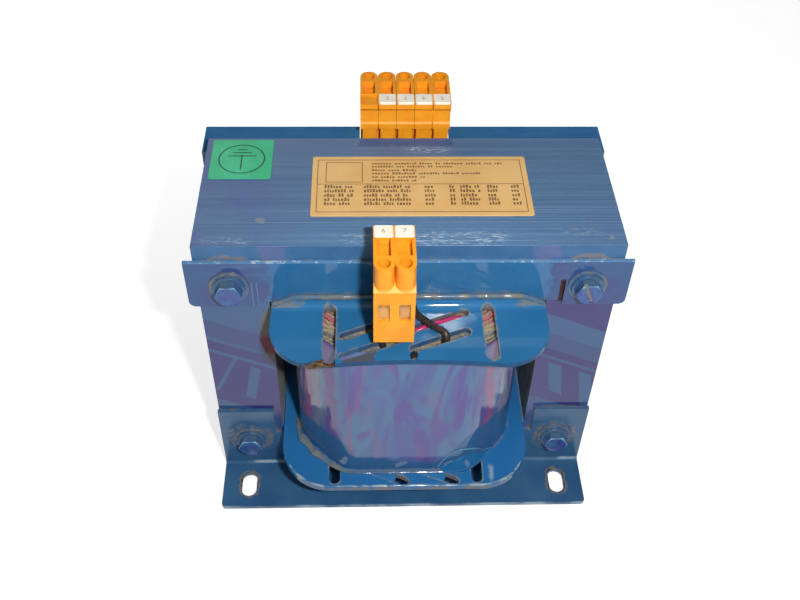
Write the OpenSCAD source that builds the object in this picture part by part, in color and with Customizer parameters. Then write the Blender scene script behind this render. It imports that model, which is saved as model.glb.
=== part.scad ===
// Foot-mounted mains transformer: interleaved EI core, moulded coil former with two
// concentric windings, upper clamps, foot brackets, through bolts and screw terminals.
// Millimetres, +Z up. The origin is on the mounting plane under the centre of the core.
// X runs along the laminations and -Y is the front, with the two-pole terminal block.

/* [Core] */
// Width of the centre leg
centre_leg = 58; // [50:0.5:66]
// Width of the outer legs and of both yokes
limb = 29; // [28:0.5:36]
// Width of each winding window
window_w = 29; // [28:0.5:36]
// Height of each winding window
window_h = 87; // [60:0.5:110]
// Thickness of the lamination stack
stack = 70.5; // [50:0.5:90]
// Number of interleaved packets in the stack
packets = 10; // [4:2:16]
// Height of the core's underside over the mounting plane
core_lift = 0.5; // [0:0.1:2]

/* [Coil former] */
// Clearance between the former's tube and the centre leg
former_clear = 0.3; // [0.1:0.05:0.6]
// Wall of the former's tube
former_wall = 2; // [1:0.1:3]
// Outer corner radius of the tube
tube_corner = 2; // [1:0.1:2.5]
// Space between the upper flange and the upper yoke
former_headroom = 1.6; // [0.5:0.1:3]
// Thickness of the flanges
flange_t = 2.5; // [1.5:0.1:4]
// Reach of the flanges beyond the front and rear faces of the stack
flange_reach = 35.35; // [33:0.05:42]
// Gap between the flanges and the outer legs
flange_side_gap = 1; // [0.5:0.1:2]
// Corner radius of the upper flange
upper_corner = 19.5; // [12:0.5:26]
// Depth of the hollow along the upper flange's front and rear edges
edge_bow = 2.2; // [0.5:0.1:2.4]
// Corner radius of the lower flange
lower_corner = 22.5; // [12:0.5:26]
// Drop of the lower flange at its front and rear edges
flange_droop = 3.4; // [0:0.1:4]
// Height of the stiffening rib beside each upper clamp
rib_h = 4.3; // [2.5:0.1:6]
// Thickness of the rib
rib_t = 1.5; // [1:0.1:2]
// Length over which each end of the rib curves down
rib_fade = 11; // [5:0.5:14]
// Height at which the rib's ends run out
rib_end_h = 0.4; // [0.2:0.1:1]
// Fillet between rib and flange
rib_fillet = 3.5; // [1:0.1:4]
// Gap between the rib and the clamp
rib_gap = 0.2; // [0.1:0.05:0.5]

/* [Flange slots] */
// Width of the long slots
long_slot_w = 5; // [3:0.1:6]
// Distance of the long slots from the side of the centre leg
long_slot_off = 3.7; // [3:0.1:6]
// Start of the long slots, from the face of the stack
long_slot_start = 4; // [3.5:0.1:8]
// Material left between the long slots and the flange edge
long_slot_margin = 2; // [1.5:0.1:5]
// Width of the slanted slots
slant_w = 4; // [2.8:0.1:5]
// Angle of the slanted slots
slant_angle = 22.5; // [10:0.5:26]
// Material left between the two columns of slanted slots
slant_mid = 3; // [2:0.1:6]
// Mean material left between the slanted slots and the long ones
slant_side = 3.5; // [2.5:0.1:6]
// Shift of the slanted slots to the left
slant_shift = 2; // [0:0.1:2.4]
// Distance between the two rows of slanted slots
slant_row = 10.75; // [9:0.05:11.5]
// Step in Y from one column to the next
slant_step = 4; // [2:0.1:5]
// Material left between the slanted slots and the flange edge
slant_margin = 2.2; // [1.5:0.1:3.5]
// Material left between the lower flange's slanted slots and its edge
lower_slant_margin = 0.8; // [0.6:0.1:6]
// Overlap along X of the lower flange's slanted slots
lower_slant_lap = 2.2; // [0:0.1:4]
// Width of the piece broken out of the upper front edge
chip_w = 14.5; // [8:0.5:18]
// Depth of the broken edge
chip_d = 3; // [2.5:0.1:6]
// Thickness left under the broken edge
chip_floor = 0.8; // [0.4:0.1:1.2]

/* [Windings] */
// Build of the primary winding at the sides
primary_side = 8; // [4:0.1:9]
// Build of the primary winding at the ends
primary_end = 11; // [6:0.1:12]
// Outer corner radius of the primary winding
primary_corner = 10; // [6:0.5:14]
// Thickness of the insulation between the windings
insulation_t = 0.8; // [0.4:0.1:1.5]
// Build of the secondary winding at the sides
secondary_side = 8.4; // [4:0.1:9]
// Build of the secondary winding at the ends
secondary_end = 12.4; // [6:0.1:13]
// Build of the secondary winding across its corners
secondary_diagonal = 4.9; // [3:0.1:8]
// Radius where its sides run into the flat corners
secondary_corner = 28; // [20:0.5:30]
// Thickness of the outer wrap
wrap_t = 0.8; // [0.4:0.1:1.5]

/* [Upper clamps] */
// Overhang of the clamps at each end of the core
clamp_over = 4; // [1:0.1:8]
// Height of the clamps
clamp_h = 25; // [23.5:0.5:30]
// Sheet thickness of the clamps
clamp_t = 1.5; // [1:0.1:2.5]
// Distance from the core's top down to the clamps
clamp_drop = 7.5; // [5:0.1:9]
// Radius of the clamps' lower corners
clamp_corner = 3; // [1:0.1:5]
// Width of the slits
slit_w = 2; // [1:0.1:3]
// Distance of the slits from the coil former's flange
slit_out = 6.4; // [4:0.1:7]
// Height of the slits
slit_h = 14.2; // [8:0.1:16]
// Gap between the clamps and the former's upper flange
clamp_gap = 0.7; // [0.3:0.1:1.5]
// Depth of the rear clamp's horizontal leg from the face of the stack
ledge_d = 19.2; // [12:0.1:24]
// Side gap between that leg and the rear terminals
ledge_gap = 0.3; // [0.2:0.1:4]
// Inner bend radius of folded sheets
bend_r = 1.5; // [0.5:0.1:3]

/* [Foot brackets] */
// Overhang of the foot brackets at each end of the core
foot_over = 0.5; // [0:0.1:6]
// Sheet thickness of the foot brackets
foot_t = 2; // [1.5:0.1:3]
// Height of the upright flanges
foot_h = 42; // [36:0.5:50]
// Reach of the feet from the face of the stack
foot_reach = 27.75; // [25:0.25:36]
// Gap between the ears of the upright flanges and the former's lower flange
foot_notch_side = 4.5; // [2:0.1:6]
// Gap below the former's lower flange
foot_notch_gap = 0.8; // [0.4:0.1:2]
// Corner radius of the feet
foot_corner = 2; // [0.5:0.1:5]
// Distance of the fixing slots from the ends of the feet
fix_end = 12.5; // [9:0.1:16]
// Distance of the fixing slots from the face of the stack
fix_out = 15.25; // [13:0.25:17]
// Width of the fixing slots
fix_w = 7; // [4.5:0.1:9]
// Length of the fixing slots
fix_l = 13; // [9.5:0.1:18]

/* [Bolts] */
// Diameter of the through bolts
bolt_d = 6; // [4:0.5:7]
// Distance from the bolt axes to the sides of the core
bolt_side = 13.5; // [12.5:0.1:15]
// Distance from the bolt axes to the top and underside of the core
bolt_edge = 21; // [18:0.1:22]
// Width across flats of heads and nuts
hex_af = 10; // [9:0.5:12]
// Depth of the chamfer on the corners of heads and nuts
hex_chamfer = 1; // [0.4:0.1:1.5]
// Height of the bolt heads
head_h = 4; // [3:0.1:6]
// Height of the nuts
nut_h = 5; // [3:0.1:7]
// Length of thread beyond the nuts
thread_end = 3; // [1:0.1:6]
// Width of the screwdriver slot in one head
driver_slot_w = 1.4; // [0.8:0.1:2]
// Depth of the screwdriver slot
driver_slot_d = 1.5; // [0.8:0.1:2.5]
// Turn of the slotted head
driver_slot_turn = 68; // [0:1:90]
// Wall of the insulating sleeves on the bolts
sleeve_wall = 0.7; // [0.6:0.1:1]
// Running clearance round bolts and sleeves
hole_clear = 0.1; // [0.05:0.05:0.3]
// Clearance round the bolts in clamps and foot brackets
sheet_clear = 0.5; // [0.3:0.05:0.6]
// Diameter of the fibre washers
fibre_d = 16.5; // [14.5:0.1:18]
// Thickness of the fibre washers
fibre_t = 0.8; // [0.5:0.1:1.5]
// Diameter of the steel washers
washer_d = 13.5; // [12.5:0.1:14]
// Thickness of the steel washers
washer_t = 1.4; // [0.8:0.1:2]
// Diameter of the spring washers
spring_d = 11.8; // [9.5:0.1:12.4]
// Thickness of the spring washers
spring_t = 1.6; // [1:0.1:2.5]
// Width of the split in the spring washers
spring_gap = 0.8; // [0.4:0.1:1.5]
// Turn of the split
spring_turn = 20; // [0:1:360]

/* [Terminal housings] */
// Width of one pole
pole_w = 8.05; // [7.6:0.05:9]
// Gap between neighbouring blocks
block_gap = 0.15; // [0.1:0.05:0.4]
// Middle of the front block along X
front_block_x = -7.05; // [-8:0.05:-6]
// Middle of the rear row along X
rear_row_x = 0.25; // [-1:0.05:1]
// Height of the housings over the flange
block_h = 45.9; // [44:0.1:50]
// Distance from the stack to the housings' outer face
block_out = 28.75; // [28:0.05:30]
// Distance from the stack to the housings' inner top edge
block_in = 4.95; // [4.5:0.05:5.5]
// Height of the housings' underside over the flange
underside_h = 5.6; // [3.5:0.1:7]
// Height of the ridge across the outer face
ridge_h = 33.2; // [31:0.1:34]
// Reach of the ridge beyond the outer face
ridge_out = 1; // [0.5:0.1:2]
// Height of the ridge's edge
ridge_edge = 0.9; // [0.5:0.1:1.5]
// Height of the bevel under the ridge
ridge_bevel = 0.4; // [0.2:0.1:1]
// Rise from the ridge to the screw bosses
ridge_rise = 3.6; // [2:0.1:5]
// Height of the lip along the inner top edge
lip_h = 3.3; // [2:0.1:5]
// Depth of the recess under that lip
recess_d = 2; // [1.4:0.1:2.4]
// Height of the step above the feet
shoulder_h = 31.1; // [29:0.1:33]
// Height of the lower lip on that step
low_lip_h = 2.7; // [1.5:0.1:4]
// Set-back of the lower lip from the upper one
low_lip_in = 1.2; // [0.4:0.1:1.3]
// Width of the groove between the poles of a block
groove_w = 0.4; // [0.2:0.05:0.5]
// Depth of that groove in the recess
groove_d = 0.4; // [0.2:0.1:1]
// Width of each foot
terminal_foot_w = 6; // [4:0.1:7]
// Depth of each foot
terminal_foot_d = 6; // [4:0.1:8]
// Set-back of the feet from the inner top edge
foot_set = 2.8; // [2.4:0.1:3.2]
// Set-back of the body from the feet
body_set = 5; // [1:0.1:5]

/* [Terminal openings] */
// Distance of the screw wells from the outer face
well_in = 3; // [2.8:0.05:3.4]
// Diameter of the screw wells
well_d = 5; // [4.4:0.1:5.6]
// Radius of the bosses round the screw wells
boss_r = 3.95; // [3.4:0.05:4]
// Material between the wire entries and the bottom of the wells
well_floor = 6; // [4:0.1:8]
// Width of the rectangular pockets behind the wells
pocket_w = 5.2; // [4:0.1:6]
// Length of the rectangular pockets
pocket_l = 9.6; // [6:0.1:9.8]
// Depth of the rectangular pockets
pocket_d = 3.5; // [2:0.1:6]
// Width of the wire entries
entry_w = 4.4; // [3.8:0.1:5.6]
// Height of the wire entries
entry_h = 9; // [7.6:0.1:10]
// Depth of the wire entries
entry_d = 9; // [8:0.1:12]
// Height of the lower edge of the wire entries over the flange
entry_z = 17.6; // [15:0.1:18]

/* [Terminal metalwork and tags] */
// Set-back of the clamping cages in the wire entries
cage_in = 1.4; // [0.8:0.1:1.8]
// Clearance of the cages at their sides
cage_clear = 0.1; // [0.05:0.05:0.2]
// Side walls of the cages
cage_wall = 0.6; // [0.4:0.1:1]
// Upper wall of the cages
cage_top = 0.8; // [0.5:0.1:1.2]
// Height of the wire gap in the cages
wire_gap = 2; // [1:0.1:3]
// Diameter of the clamping screws
screw_d = 3; // [2:0.1:3.2]
// Clearance round screws and screw heads in the housings
screw_clear = 0.2; // [0.1:0.05:0.3]
// Height of the screw heads
screw_head_h = 2.4; // [1.6:0.1:3]
// Width of the slots in the screw heads
screw_slot_w = 0.9; // [0.6:0.1:1.2]
// Depth of the slots in the screw heads
screw_slot_d = 1; // [0.6:0.1:1.4]
// Turn of the slots in the screw heads
screw_slot_turn = 35; // [0:1:180]
// Length of the marker tags
tag_l = 6.9; // [4:0.1:7]
// Thickness of the marker tags
tag_t = 1.2; // [0.8:0.1:2]
// Part of the tags' thickness that stands over the housing
tag_proud = 0.3; // [0.1:0.05:0.6]
// Housing wall left at each side of a tag
tag_side = 0.3; // [0.2:0.05:0.6]
// Housing wall left between tag and pocket
tag_gap = 0.3; // [0.2:0.1:0.8]

/* [Leads] */
// Diameter of the short leads below the blocks
lead_d = 2.4; // [1.6:0.1:2.7]
// Diameter of the sleeved lead on the front flange
sleeved_d = 3; // [2:0.1:3.2]

/* [Labels] */
// Length of the rating plate
plate_l = 92; // [60:1:110]
// Width of the rating plate
plate_w = 39; // [25:0.5:45]
// Thickness of the rating plate
plate_t = 0.5; // [0.3:0.1:1]
// Middle of the rating plate along X
plate_x = 5.6; // [0:0.1:8]
// Middle of the rating plate along Y
plate_y = 1.85; // [-2:0.05:2.5]
// Length of the earth label
earth_l = 26.5; // [20:0.5:27]
// Width of the earth label
earth_w = 27; // [20:0.5:28]
// Thickness of the earth label
earth_t = 0.3; // [0.2:0.05:0.6]
// Margin from the earth label to the core's left edge
earth_x = 2.6; // [1:0.1:4]
// Margin from the earth label to the core's rear edge
earth_y = 1.6; // [1:0.1:4]
// Corner radius of both labels
label_corner = 1; // [0.5:0.1:3]

/* [Hidden] */
$fn = 48;
// Small overlap of solids that are joined, overshoot of cuts, and a length beyond the whole object
eps = 0.01;
cut = 1;
far = 400;

// Core
core_w = centre_leg + 2 * window_w + 2 * limb;
core_h = window_h + 2 * limb;
core_top = core_lift + core_h;
face = stack / 2;
packet_t = stack / packets;
bolt_x = core_w / 2 - bolt_side;
bolt_low = core_lift + bolt_edge;
bolt_high = core_top - bolt_edge;
bolt_hole_d = bolt_d + 2 * hole_clear;
sleeve_d = bolt_hole_d + 2 * sleeve_wall;
core_hole_d = sleeve_d + 2 * hole_clear;
sheet_hole_d = bolt_d + 2 * sheet_clear;

// Coil former
former_low = core_lift + limb;
former_top = former_low + window_h - former_headroom;
bore_x = centre_leg / 2 + former_clear;
bore_y = face + former_clear;
tube_x = bore_x + former_wall;
tube_y = bore_y + former_wall;
flange_x = centre_leg / 2 + window_w - flange_side_gap;
flange_y = face + flange_reach;
flange_edge_low = former_low - flange_droop;
coil_low = former_low + flange_t;
coil_top = former_top - flange_t;
rib_y = face + clamp_t + rib_gap;
rib_steps = 8;

// Flange slots
long_slot_x = centre_leg / 2 + long_slot_off;
slant_run = long_slot_x - long_slot_w / 2 - slant_side - slant_mid / 2;
slant_l = (slant_run - slant_w) / cos(slant_angle) + slant_w;
slant_half_y = (slant_l - slant_w) / 2 * sin(slant_angle) + slant_w / 2;
slant_outer_y = flange_y - slant_margin - slant_half_y;
lower_slant_x = (slant_run - lower_slant_lap) / 2;
lower_slant_y = flange_y - lower_slant_margin - slant_half_y;

// Half sizes, corner radius and reach across the corners of each winding layer, from the tube outwards
tube_layer = round_layer(tube_x, tube_y, tube_corner);
primary_layer = round_layer(tube_x + primary_side, tube_y + primary_end, primary_corner);
insulation_layer = primary_layer + insulation_t * [1, 1, 1, sqrt(2)];
secondary_layer = [
    insulation_layer[0] + secondary_side,
    insulation_layer[1] + secondary_end,
    secondary_corner,
    insulation_layer[3] + secondary_diagonal * sqrt(2)
];
wrap_layer = secondary_layer + wrap_t * [1, 1, 1, sqrt(2)];

// Upper clamps
clamp_l = core_w + 2 * clamp_over;
clamp_top = core_top - clamp_drop;
clamp_low = clamp_top - clamp_h;
clamp_mid_low = former_top + clamp_gap;
slit_x = flange_x + slit_out;

// Foot brackets
foot_l = core_w + 2 * foot_over;
foot_notch_x = flange_x + foot_notch_side;
foot_notch_low = flange_edge_low - foot_notch_gap;
fix_x = foot_l / 2 - fix_end;

// Terminals
rear_poles = 5;
outer_y = face + block_out;
inner_y = face + block_in;
well_y = outer_y - well_in;
foot_in = inner_y + foot_set;
body_in = foot_in + body_set;
block_top = former_top + block_h;
ledge = former_top + ridge_h;
shoulder = former_top + shoulder_h;
underside = former_top + underside_h;
entry_low = former_top + entry_z;
well_low = entry_low + entry_h + well_floor;
cage_w = entry_w - 2 * cage_clear;
cage_d = entry_d - cage_in;
cage_h = entry_h - 2 * cage_clear;
tag_w = pole_w - 2 * tag_side;
tag_seat = tag_t - tag_proud;

// Fixed route of the sleeved lead, relative to the middle of the front flange's rib
lead_route = [
    [14.6, 21.7, -2.5], [14.6, 21.7, -1], [14.5, 21.5, 0.5], [14.1, 20.7, 1.5], [13.2, 19.6, 1.8],
    [9.2, 16.5, 1.7], [5.2, 12.6, 1.7], [2.6, 9.4, 1.9], [1.2, 6.2, 3.4], [-1.4, 4.8, 7.1],
    [-2.6, 4.2, 11.1], [-3, 4.4, 14.2], [-3, 5.4, 16], [-3, 6.6, 16.6], [-3, 7.7, 16.6]
];
// Direction that no stretch of that route follows
across_route = [0.3, 0.9, 0.3];

varnish_blue = [0.15, 0.40, 0.63];
slate_blue = [0.32, 0.46, 0.63];
wrap_blue = [0.36, 0.45, 0.62];
copper = [0.72, 0.42, 0.22];
zinc = [0.55, 0.62, 0.68];
fibre = [0.62, 0.58, 0.48];
orange = [0.98, 0.65, 0.14];
tag_white = [1, 0.96, 0.86];
sleeve_dark = [0.2, 0.17, 0.16];
label_tan = [0.88, 0.74, 0.46];
label_green = [0.25, 0.75, 0.55];

// Helpers

// Extrudes an X-Z outline from y0 to y1
module along_y(y0, y1) {
    translate([0, y1, 0]) rotate([90, 0, 0]) linear_extrude(y1 - y0) children();
}

// Extrudes a Y-Z outline from x0 to x1
module along_x(x0, x1) {
    translate([x0, 0, 0]) rotate([90, 0, 90]) linear_extrude(x1 - x0) children();
}

// Repeats a front piece on the rear side
module rear() {
    mirror([0, 1, 0]) children();
}

// Rectangle of half sizes hx and hy with round corners
module round_rect(hx, hy, r) {
    square([2 * hx, 2 * (hy - r)], center = true);
    square([2 * (hx - r), 2 * hy], center = true);
    for (x = [-1, 1], y = [-1, 1]) translate([x * (hx - r), y * (hy - r)]) circle(r);
}

// Slot with round ends, centred, along X
module slot(length, width) {
    square([length - width, width], center = true);
    for (x = [-1, 1]) translate([x * (length - width) / 2, 0]) circle(d = width);
}

// Material of a square inner corner that a fillet adds, with its corner at the origin
module fillet(r) {
    difference() {
        square(r);
        translate([r, r]) circle(r);
    }
}

// Hexagonal prism along +Y, its far face chamfered at 30 degrees
module hexagon(height) {
    r = hex_af / sqrt(3);
    chamfer_h = hex_chamfer * tan(30);
    rotate([-90, 0, 0]) intersection() {
        cylinder(h = height, r = r, $fn = 6);
        union() {
            cylinder(h = height - chamfer_h, r = r);
            translate([0, 0, height - chamfer_h]) cylinder(h = chamfer_h, r1 = r, r2 = r - hex_chamfer);
        }
    }
}

// Washer along -Y from the plane y
module washer(y, od, t) {
    along_y(y - t, y) difference() {
        circle(d = od);
        circle(d = bolt_hole_d);
    }
}

// Places children at the four bolt axes
module at_bolts() {
    for (z = [bolt_low, bolt_high]) at_bolt_pair(z) children();
}

// Places children at the upper or the lower pair of bolt axes
module at_bolt_pair(z) {
    for (x = [-bolt_x, bolt_x]) translate([x, 0, z]) children();
}

// Core

// Outline of an E with its back at the bottom
module e_outline() {
    difference() {
        translate([-core_w / 2, 0]) square([core_w, core_h - limb]);
        for (s = [-1, 1]) {
            window_x = s * (centre_leg + window_w) / 2 - window_w / 2;
            translate([window_x, limb]) square([window_w, window_h + cut]);
            translate([s * bolt_x, bolt_edge]) circle(d = core_hole_d);
        }
    }
}

// Outline of the I that closes it
module i_outline() {
    difference() {
        translate([-core_w / 2, core_h - limb]) square([core_w, limb]);
        for (s = [-1, 1]) translate([s * bolt_x, core_h - bolt_edge]) circle(d = core_hole_d);
    }
}

// Stacks an outline in packets that face up and down in turn
module interleaved() {
    for (i = [0 : packets - 1]) {
        y = -face + i * packet_t;
        flip = i % 2;
        translate([0, 0, core_lift + flip * core_h]) mirror([0, 0, flip])
            along_y(y, y + packet_t) children();
    }
}

module e_laminations() {
    color(slate_blue) interleaved() e_outline();
}

module i_laminations() {
    color(slate_blue) interleaved() i_outline();
}

// Coil former

// Middle of a column of slanted slots along X
function slant_x(column) = column * (slant_run + slant_mid) / 2 - slant_shift;

// Middle of a slanted slot of the outer row along Y, on the front side
function slant_y(column) = -slant_outer_y + (column + 1) / 2 * slant_step;

// Outline of the upper flange, with a shallow arc along its front and rear edges
module upper_outline() {
    chord = flange_x - upper_corner;
    r = (chord * chord + edge_bow * edge_bow) / (2 * edge_bow);
    difference() {
        round_rect(flange_x, flange_y, upper_corner);
        for (s = [-1, 1]) translate([0, s * (flange_y - edge_bow + r)]) circle(r, $fn = 360);
    }
}

// Long slots of one wing, on the front side
module long_slots() {
    start = face + long_slot_start;
    end = flange_y - long_slot_margin;
    for (s = [-1, 1]) translate([s * long_slot_x, -(start + end) / 2])
        rotate(90) slot(end - start, long_slot_w);
}

// Slanted slots of one wing of the upper flange, on the front side
module slanted_slots() {
    for (column = [-1, 1], row = [0, 1])
        translate([slant_x(column), slant_y(column) + row * slant_row])
            rotate(slant_angle) slot(slant_l, slant_w);
}

// Slanted slots of one wing of the lower flange, leaning the other way
module lower_slanted_slots() {
    for (s = [-1, 1]) translate([s * lower_slant_x, -lower_slant_y])
        rotate(-slant_angle) slot(slant_l, slant_w);
}

// Repeats a wing's outline on the rear wing, turned half round
module both_wings() {
    children();
    rotate(180) children();
}

// Piece broken out of the upper front edge beside the left long slot
module chip() {
    inner = -long_slot_x + long_slot_w / 2;
    edge = -flange_y;
    polygon([
        [inner, edge - cut], [inner, edge + chip_d], [inner - long_slot_w, edge + chip_d],
        [inner - chip_w, edge], [inner - chip_w, edge - cut]
    ]);
}

module upper_flange() {
    difference() {
        translate([0, 0, coil_top]) linear_extrude(flange_t) difference() {
            upper_outline();
            square([2 * bore_x, 2 * bore_y], center = true);
            both_wings() long_slots();
            both_wings() slanted_slots();
        }
        translate([0, 0, coil_top + chip_floor]) linear_extrude(flange_t) chip();
    }
}

// Side outline of the lower flange, which droops from the tube to its edges
module drooped_outline() {
    polygon([
        [-flange_y, flange_edge_low], [-tube_y, former_low],
        [tube_y, former_low], [flange_y, flange_edge_low],
        [flange_y, flange_edge_low + flange_t], [tube_y, coil_low],
        [-tube_y, coil_low], [-flange_y, flange_edge_low + flange_t]
    ]);
}

module lower_flange() {
    intersection() {
        along_x(-flange_x, flange_x) drooped_outline();
        translate([0, 0, flange_edge_low - cut]) linear_extrude(flange_droop + flange_t + 2 * cut)
            difference() {
                round_rect(flange_x, flange_y, lower_corner);
                square([2 * bore_x, 2 * bore_y], center = true);
                both_wings() long_slots();
                both_wings() lower_slanted_slots();
            }
    }
}

// Point i on the curved end of the rib, on side s
function rib_edge(i, s) =
    let (t = i / rib_steps)
    [
        s * (flange_x - rib_fade * (1 - t)),
        former_top + rib_end_h + (rib_h - rib_end_h) * (1 + cos(180 * t)) / 2
    ];

// Front outline of the rib, with ends that curve down to the flange
module rib_outline() {
    polygon([
        for (i = [0 : rib_steps]) rib_edge(i, 1),
        [flange_x, former_top],
        [-flange_x, former_top],
        for (i = [rib_steps : -1 : 0]) rib_edge(i, -1)
    ]);
}

// Rib that stands on the upper flange in front of the clamp
module stiffening_rib() {
    difference() {
        intersection() {
            along_x(-flange_x, flange_x) translate([-rib_y - rib_t, former_top]) {
                square([rib_t, rib_h]);
                mirror([1, 0]) fillet(rib_fillet);
            }
            along_y(-flange_y, 0) rib_outline();
        }
        translate([0, 0, former_top]) linear_extrude(rib_h) long_slots();
    }
}

module coil_former() {
    color(varnish_blue) {
        translate([0, 0, coil_low]) linear_extrude(coil_top - coil_low) difference() {
            round_rect(tube_x, tube_y, tube_corner);
            square([2 * bore_x, 2 * bore_y], center = true);
        }
        upper_flange();
        lower_flange();
        stiffening_rib();
        rear() stiffening_rib();
    }
}

// Windings

// Half sizes of a layer whose corners are round, with the reach across them
function round_layer(hx, hy, r) = [hx, hy, r, hx + hy - (2 - sqrt(2)) * r];

// Outline of a layer, flattened across its corners
module layer_outline(size) {
    intersection() {
        round_rect(size[0], size[1], size[2]);
        rotate(45) square(size[3] * sqrt(2), center = true);
    }
}

// Closed layer between two outlines, over the full height between the flanges
module layer(outer, inner) {
    translate([0, 0, coil_low]) linear_extrude(coil_top - coil_low) difference() {
        layer_outline(outer);
        layer_outline(inner);
    }
}

module primary_winding() {
    color(copper) layer(primary_layer, tube_layer);
}

module interwinding_insulation() {
    color(fibre) layer(insulation_layer, primary_layer);
}

module secondary_winding() {
    color(copper) layer(secondary_layer, insulation_layer);
}

module outer_wrap() {
    color(wrap_blue) layer(wrap_layer, secondary_layer);
}

// Clamps

// Outline of a clamp strip with round lower corners, slits and bolt holes
module clamp_outline() {
    difference() {
        union() {
            translate([0, clamp_low + clamp_h / 2]) round_rect(clamp_l / 2, clamp_h / 2, clamp_corner);
            translate([-clamp_l / 2, clamp_low + clamp_h / 2]) square([clamp_l, clamp_h / 2]);
        }
        translate([-slit_x, clamp_low - cut]) square([2 * slit_x, clamp_mid_low - clamp_low + cut]);
        for (s = [-1, 1]) {
            translate([s * slit_x - slit_w / 2, clamp_low - cut]) square([slit_w, slit_h + cut]);
            translate([s * bolt_x, bolt_high]) circle(d = sheet_hole_d);
        }
    }
}

// Upright strip of a clamp, on the front side
module clamp_strip() {
    along_y(-face - clamp_t, -face) clamp_outline();
}

module front_upper_clamp() {
    color(varnish_blue) clamp_strip();
}

// Horizontal leg of the rear clamp, drawn on the front side and cut away round the terminals
module clamp_ledge() {
    bend_y = face + clamp_t;
    notch = rear_poles * pole_w + 2 * ledge_gap;
    difference() {
        along_x(-clamp_l / 2, clamp_l / 2) {
            translate([-face - ledge_d, clamp_top - clamp_t]) square([ledge_d, clamp_t]);
            translate([-bend_y, clamp_top - clamp_t]) rotate(180) fillet(bend_r);
        }
        translate([rear_row_x, -far / 2 - bend_y, 0]) cube([notch, far, 2 * far], center = true);
    }
}

module rear_upper_clamp() {
    color(varnish_blue) rear() {
        clamp_strip();
        clamp_ledge();
    }
}

// Upright flange of a foot bracket, open in the middle for the coil
module foot_upright_outline() {
    difference() {
        translate([-foot_l / 2, 0]) square([foot_l, foot_h]);
        translate([-foot_notch_x, foot_notch_low]) square([2 * foot_notch_x, foot_h]);
        for (s = [-1, 1]) translate([s * bolt_x, bolt_low]) circle(d = sheet_hole_d);
    }
}

// Outline of the foot, seen from above, with its two fixing slots
module foot_outline() {
    half = foot_reach / 2;
    difference() {
        union() {
            translate([0, -face - half]) round_rect(foot_l / 2, half, foot_corner);
            translate([-foot_l / 2, -face - half]) square([foot_l, half]);
        }
        for (s = [-1, 1]) translate([s * fix_x, -face - fix_out]) rotate(90) slot(fix_l, fix_w);
    }
}

// Foot bracket, on the front side, folded with a round inner and outer bend
module foot_bracket() {
    difference() {
        union() {
            along_y(-face - foot_t, -face) foot_upright_outline();
            linear_extrude(foot_t) foot_outline();
            along_x(-foot_l / 2, foot_l / 2) translate([-face - foot_t, foot_t])
                mirror([1, 0]) fillet(bend_r);
        }
        along_x(-foot_l, foot_l) translate([-face, 0]) mirror([1, 0]) fillet(bend_r + foot_t);
    }
}

module front_foot_bracket() {
    color(varnish_blue) foot_bracket();
}

module rear_foot_bracket() {
    color(varnish_blue) rear() foot_bracket();
}

// Bolts

// Bolt along Y for sheets of thickness t, with or without a screwdriver slot
module bolt(t, slotted) {
    head_y = -face - t - fibre_t - washer_t;
    end_y = -head_y + spring_t + nut_h + thread_end;
    difference() {
        union() {
            translate([0, head_y, 0]) mirror([0, 1, 0]) hexagon(head_h);
            along_y(head_y - eps, end_y) circle(d = bolt_d);
        }
        if (slotted) {
            translate([0, head_y - head_h, 0]) rotate([0, driver_slot_turn, 0])
                cube([2 * hex_af, 2 * driver_slot_d, driver_slot_w], center = true);
        }
    }
}

module core_bolts() {
    color(zinc) {
        at_bolt_pair(bolt_low) bolt(foot_t, false);
        translate([-bolt_x, 0, bolt_high]) bolt(clamp_t, false);
        translate([bolt_x, 0, bolt_high]) bolt(clamp_t, true);
    }
}

module bolt_sleeves() {
    color(fibre) at_bolts() along_y(-face, face) difference() {
        circle(d = sleeve_d);
        circle(d = bolt_hole_d);
    }
}

module fibre_washers() {
    color(fibre) for (side = [0, 1]) mirror([0, side, 0]) {
        at_bolt_pair(bolt_low) washer(-face - foot_t, fibre_d, fibre_t);
        at_bolt_pair(bolt_high) washer(-face - clamp_t, fibre_d, fibre_t);
    }
}

module plain_washers() {
    color(zinc) for (side = [0, 1]) mirror([0, side, 0]) {
        at_bolt_pair(bolt_low) washer(-face - foot_t - fibre_t, washer_d, washer_t);
        at_bolt_pair(bolt_high) washer(-face - clamp_t - fibre_t, washer_d, washer_t);
    }
}

// Split spring washer at the rear for sheets of thickness t
module spring_washer(t) {
    y = face + t + fibre_t + washer_t;
    along_y(y, y + spring_t) difference() {
        circle(d = spring_d);
        circle(d = bolt_hole_d);
        rotate(spring_turn) translate([spring_d / 2, 0]) square([spring_d, spring_gap], center = true);
    }
}

module spring_washers() {
    color(zinc) {
        at_bolt_pair(bolt_low) spring_washer(foot_t);
        at_bolt_pair(bolt_high) spring_washer(clamp_t);
    }
}

// Nut at the rear for sheets of thickness t
module nut(t) {
    y = face + t + fibre_t + washer_t + spring_t;
    difference() {
        translate([0, y, 0]) hexagon(nut_h);
        along_y(y - cut, y + nut_h + cut) circle(d = bolt_d);
    }
}

module core_nuts() {
    color(zinc) {
        at_bolt_pair(bolt_low) nut(foot_t);
        at_bolt_pair(bolt_high) nut(clamp_t);
    }
}

// Terminals, drawn on the front side round x = 0

// Places children at the poles of a block
module at_poles(poles) {
    for (i = [0 : poles - 1]) translate([(i - (poles - 1) / 2) * pole_w, 0, 0]) children();
}

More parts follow.
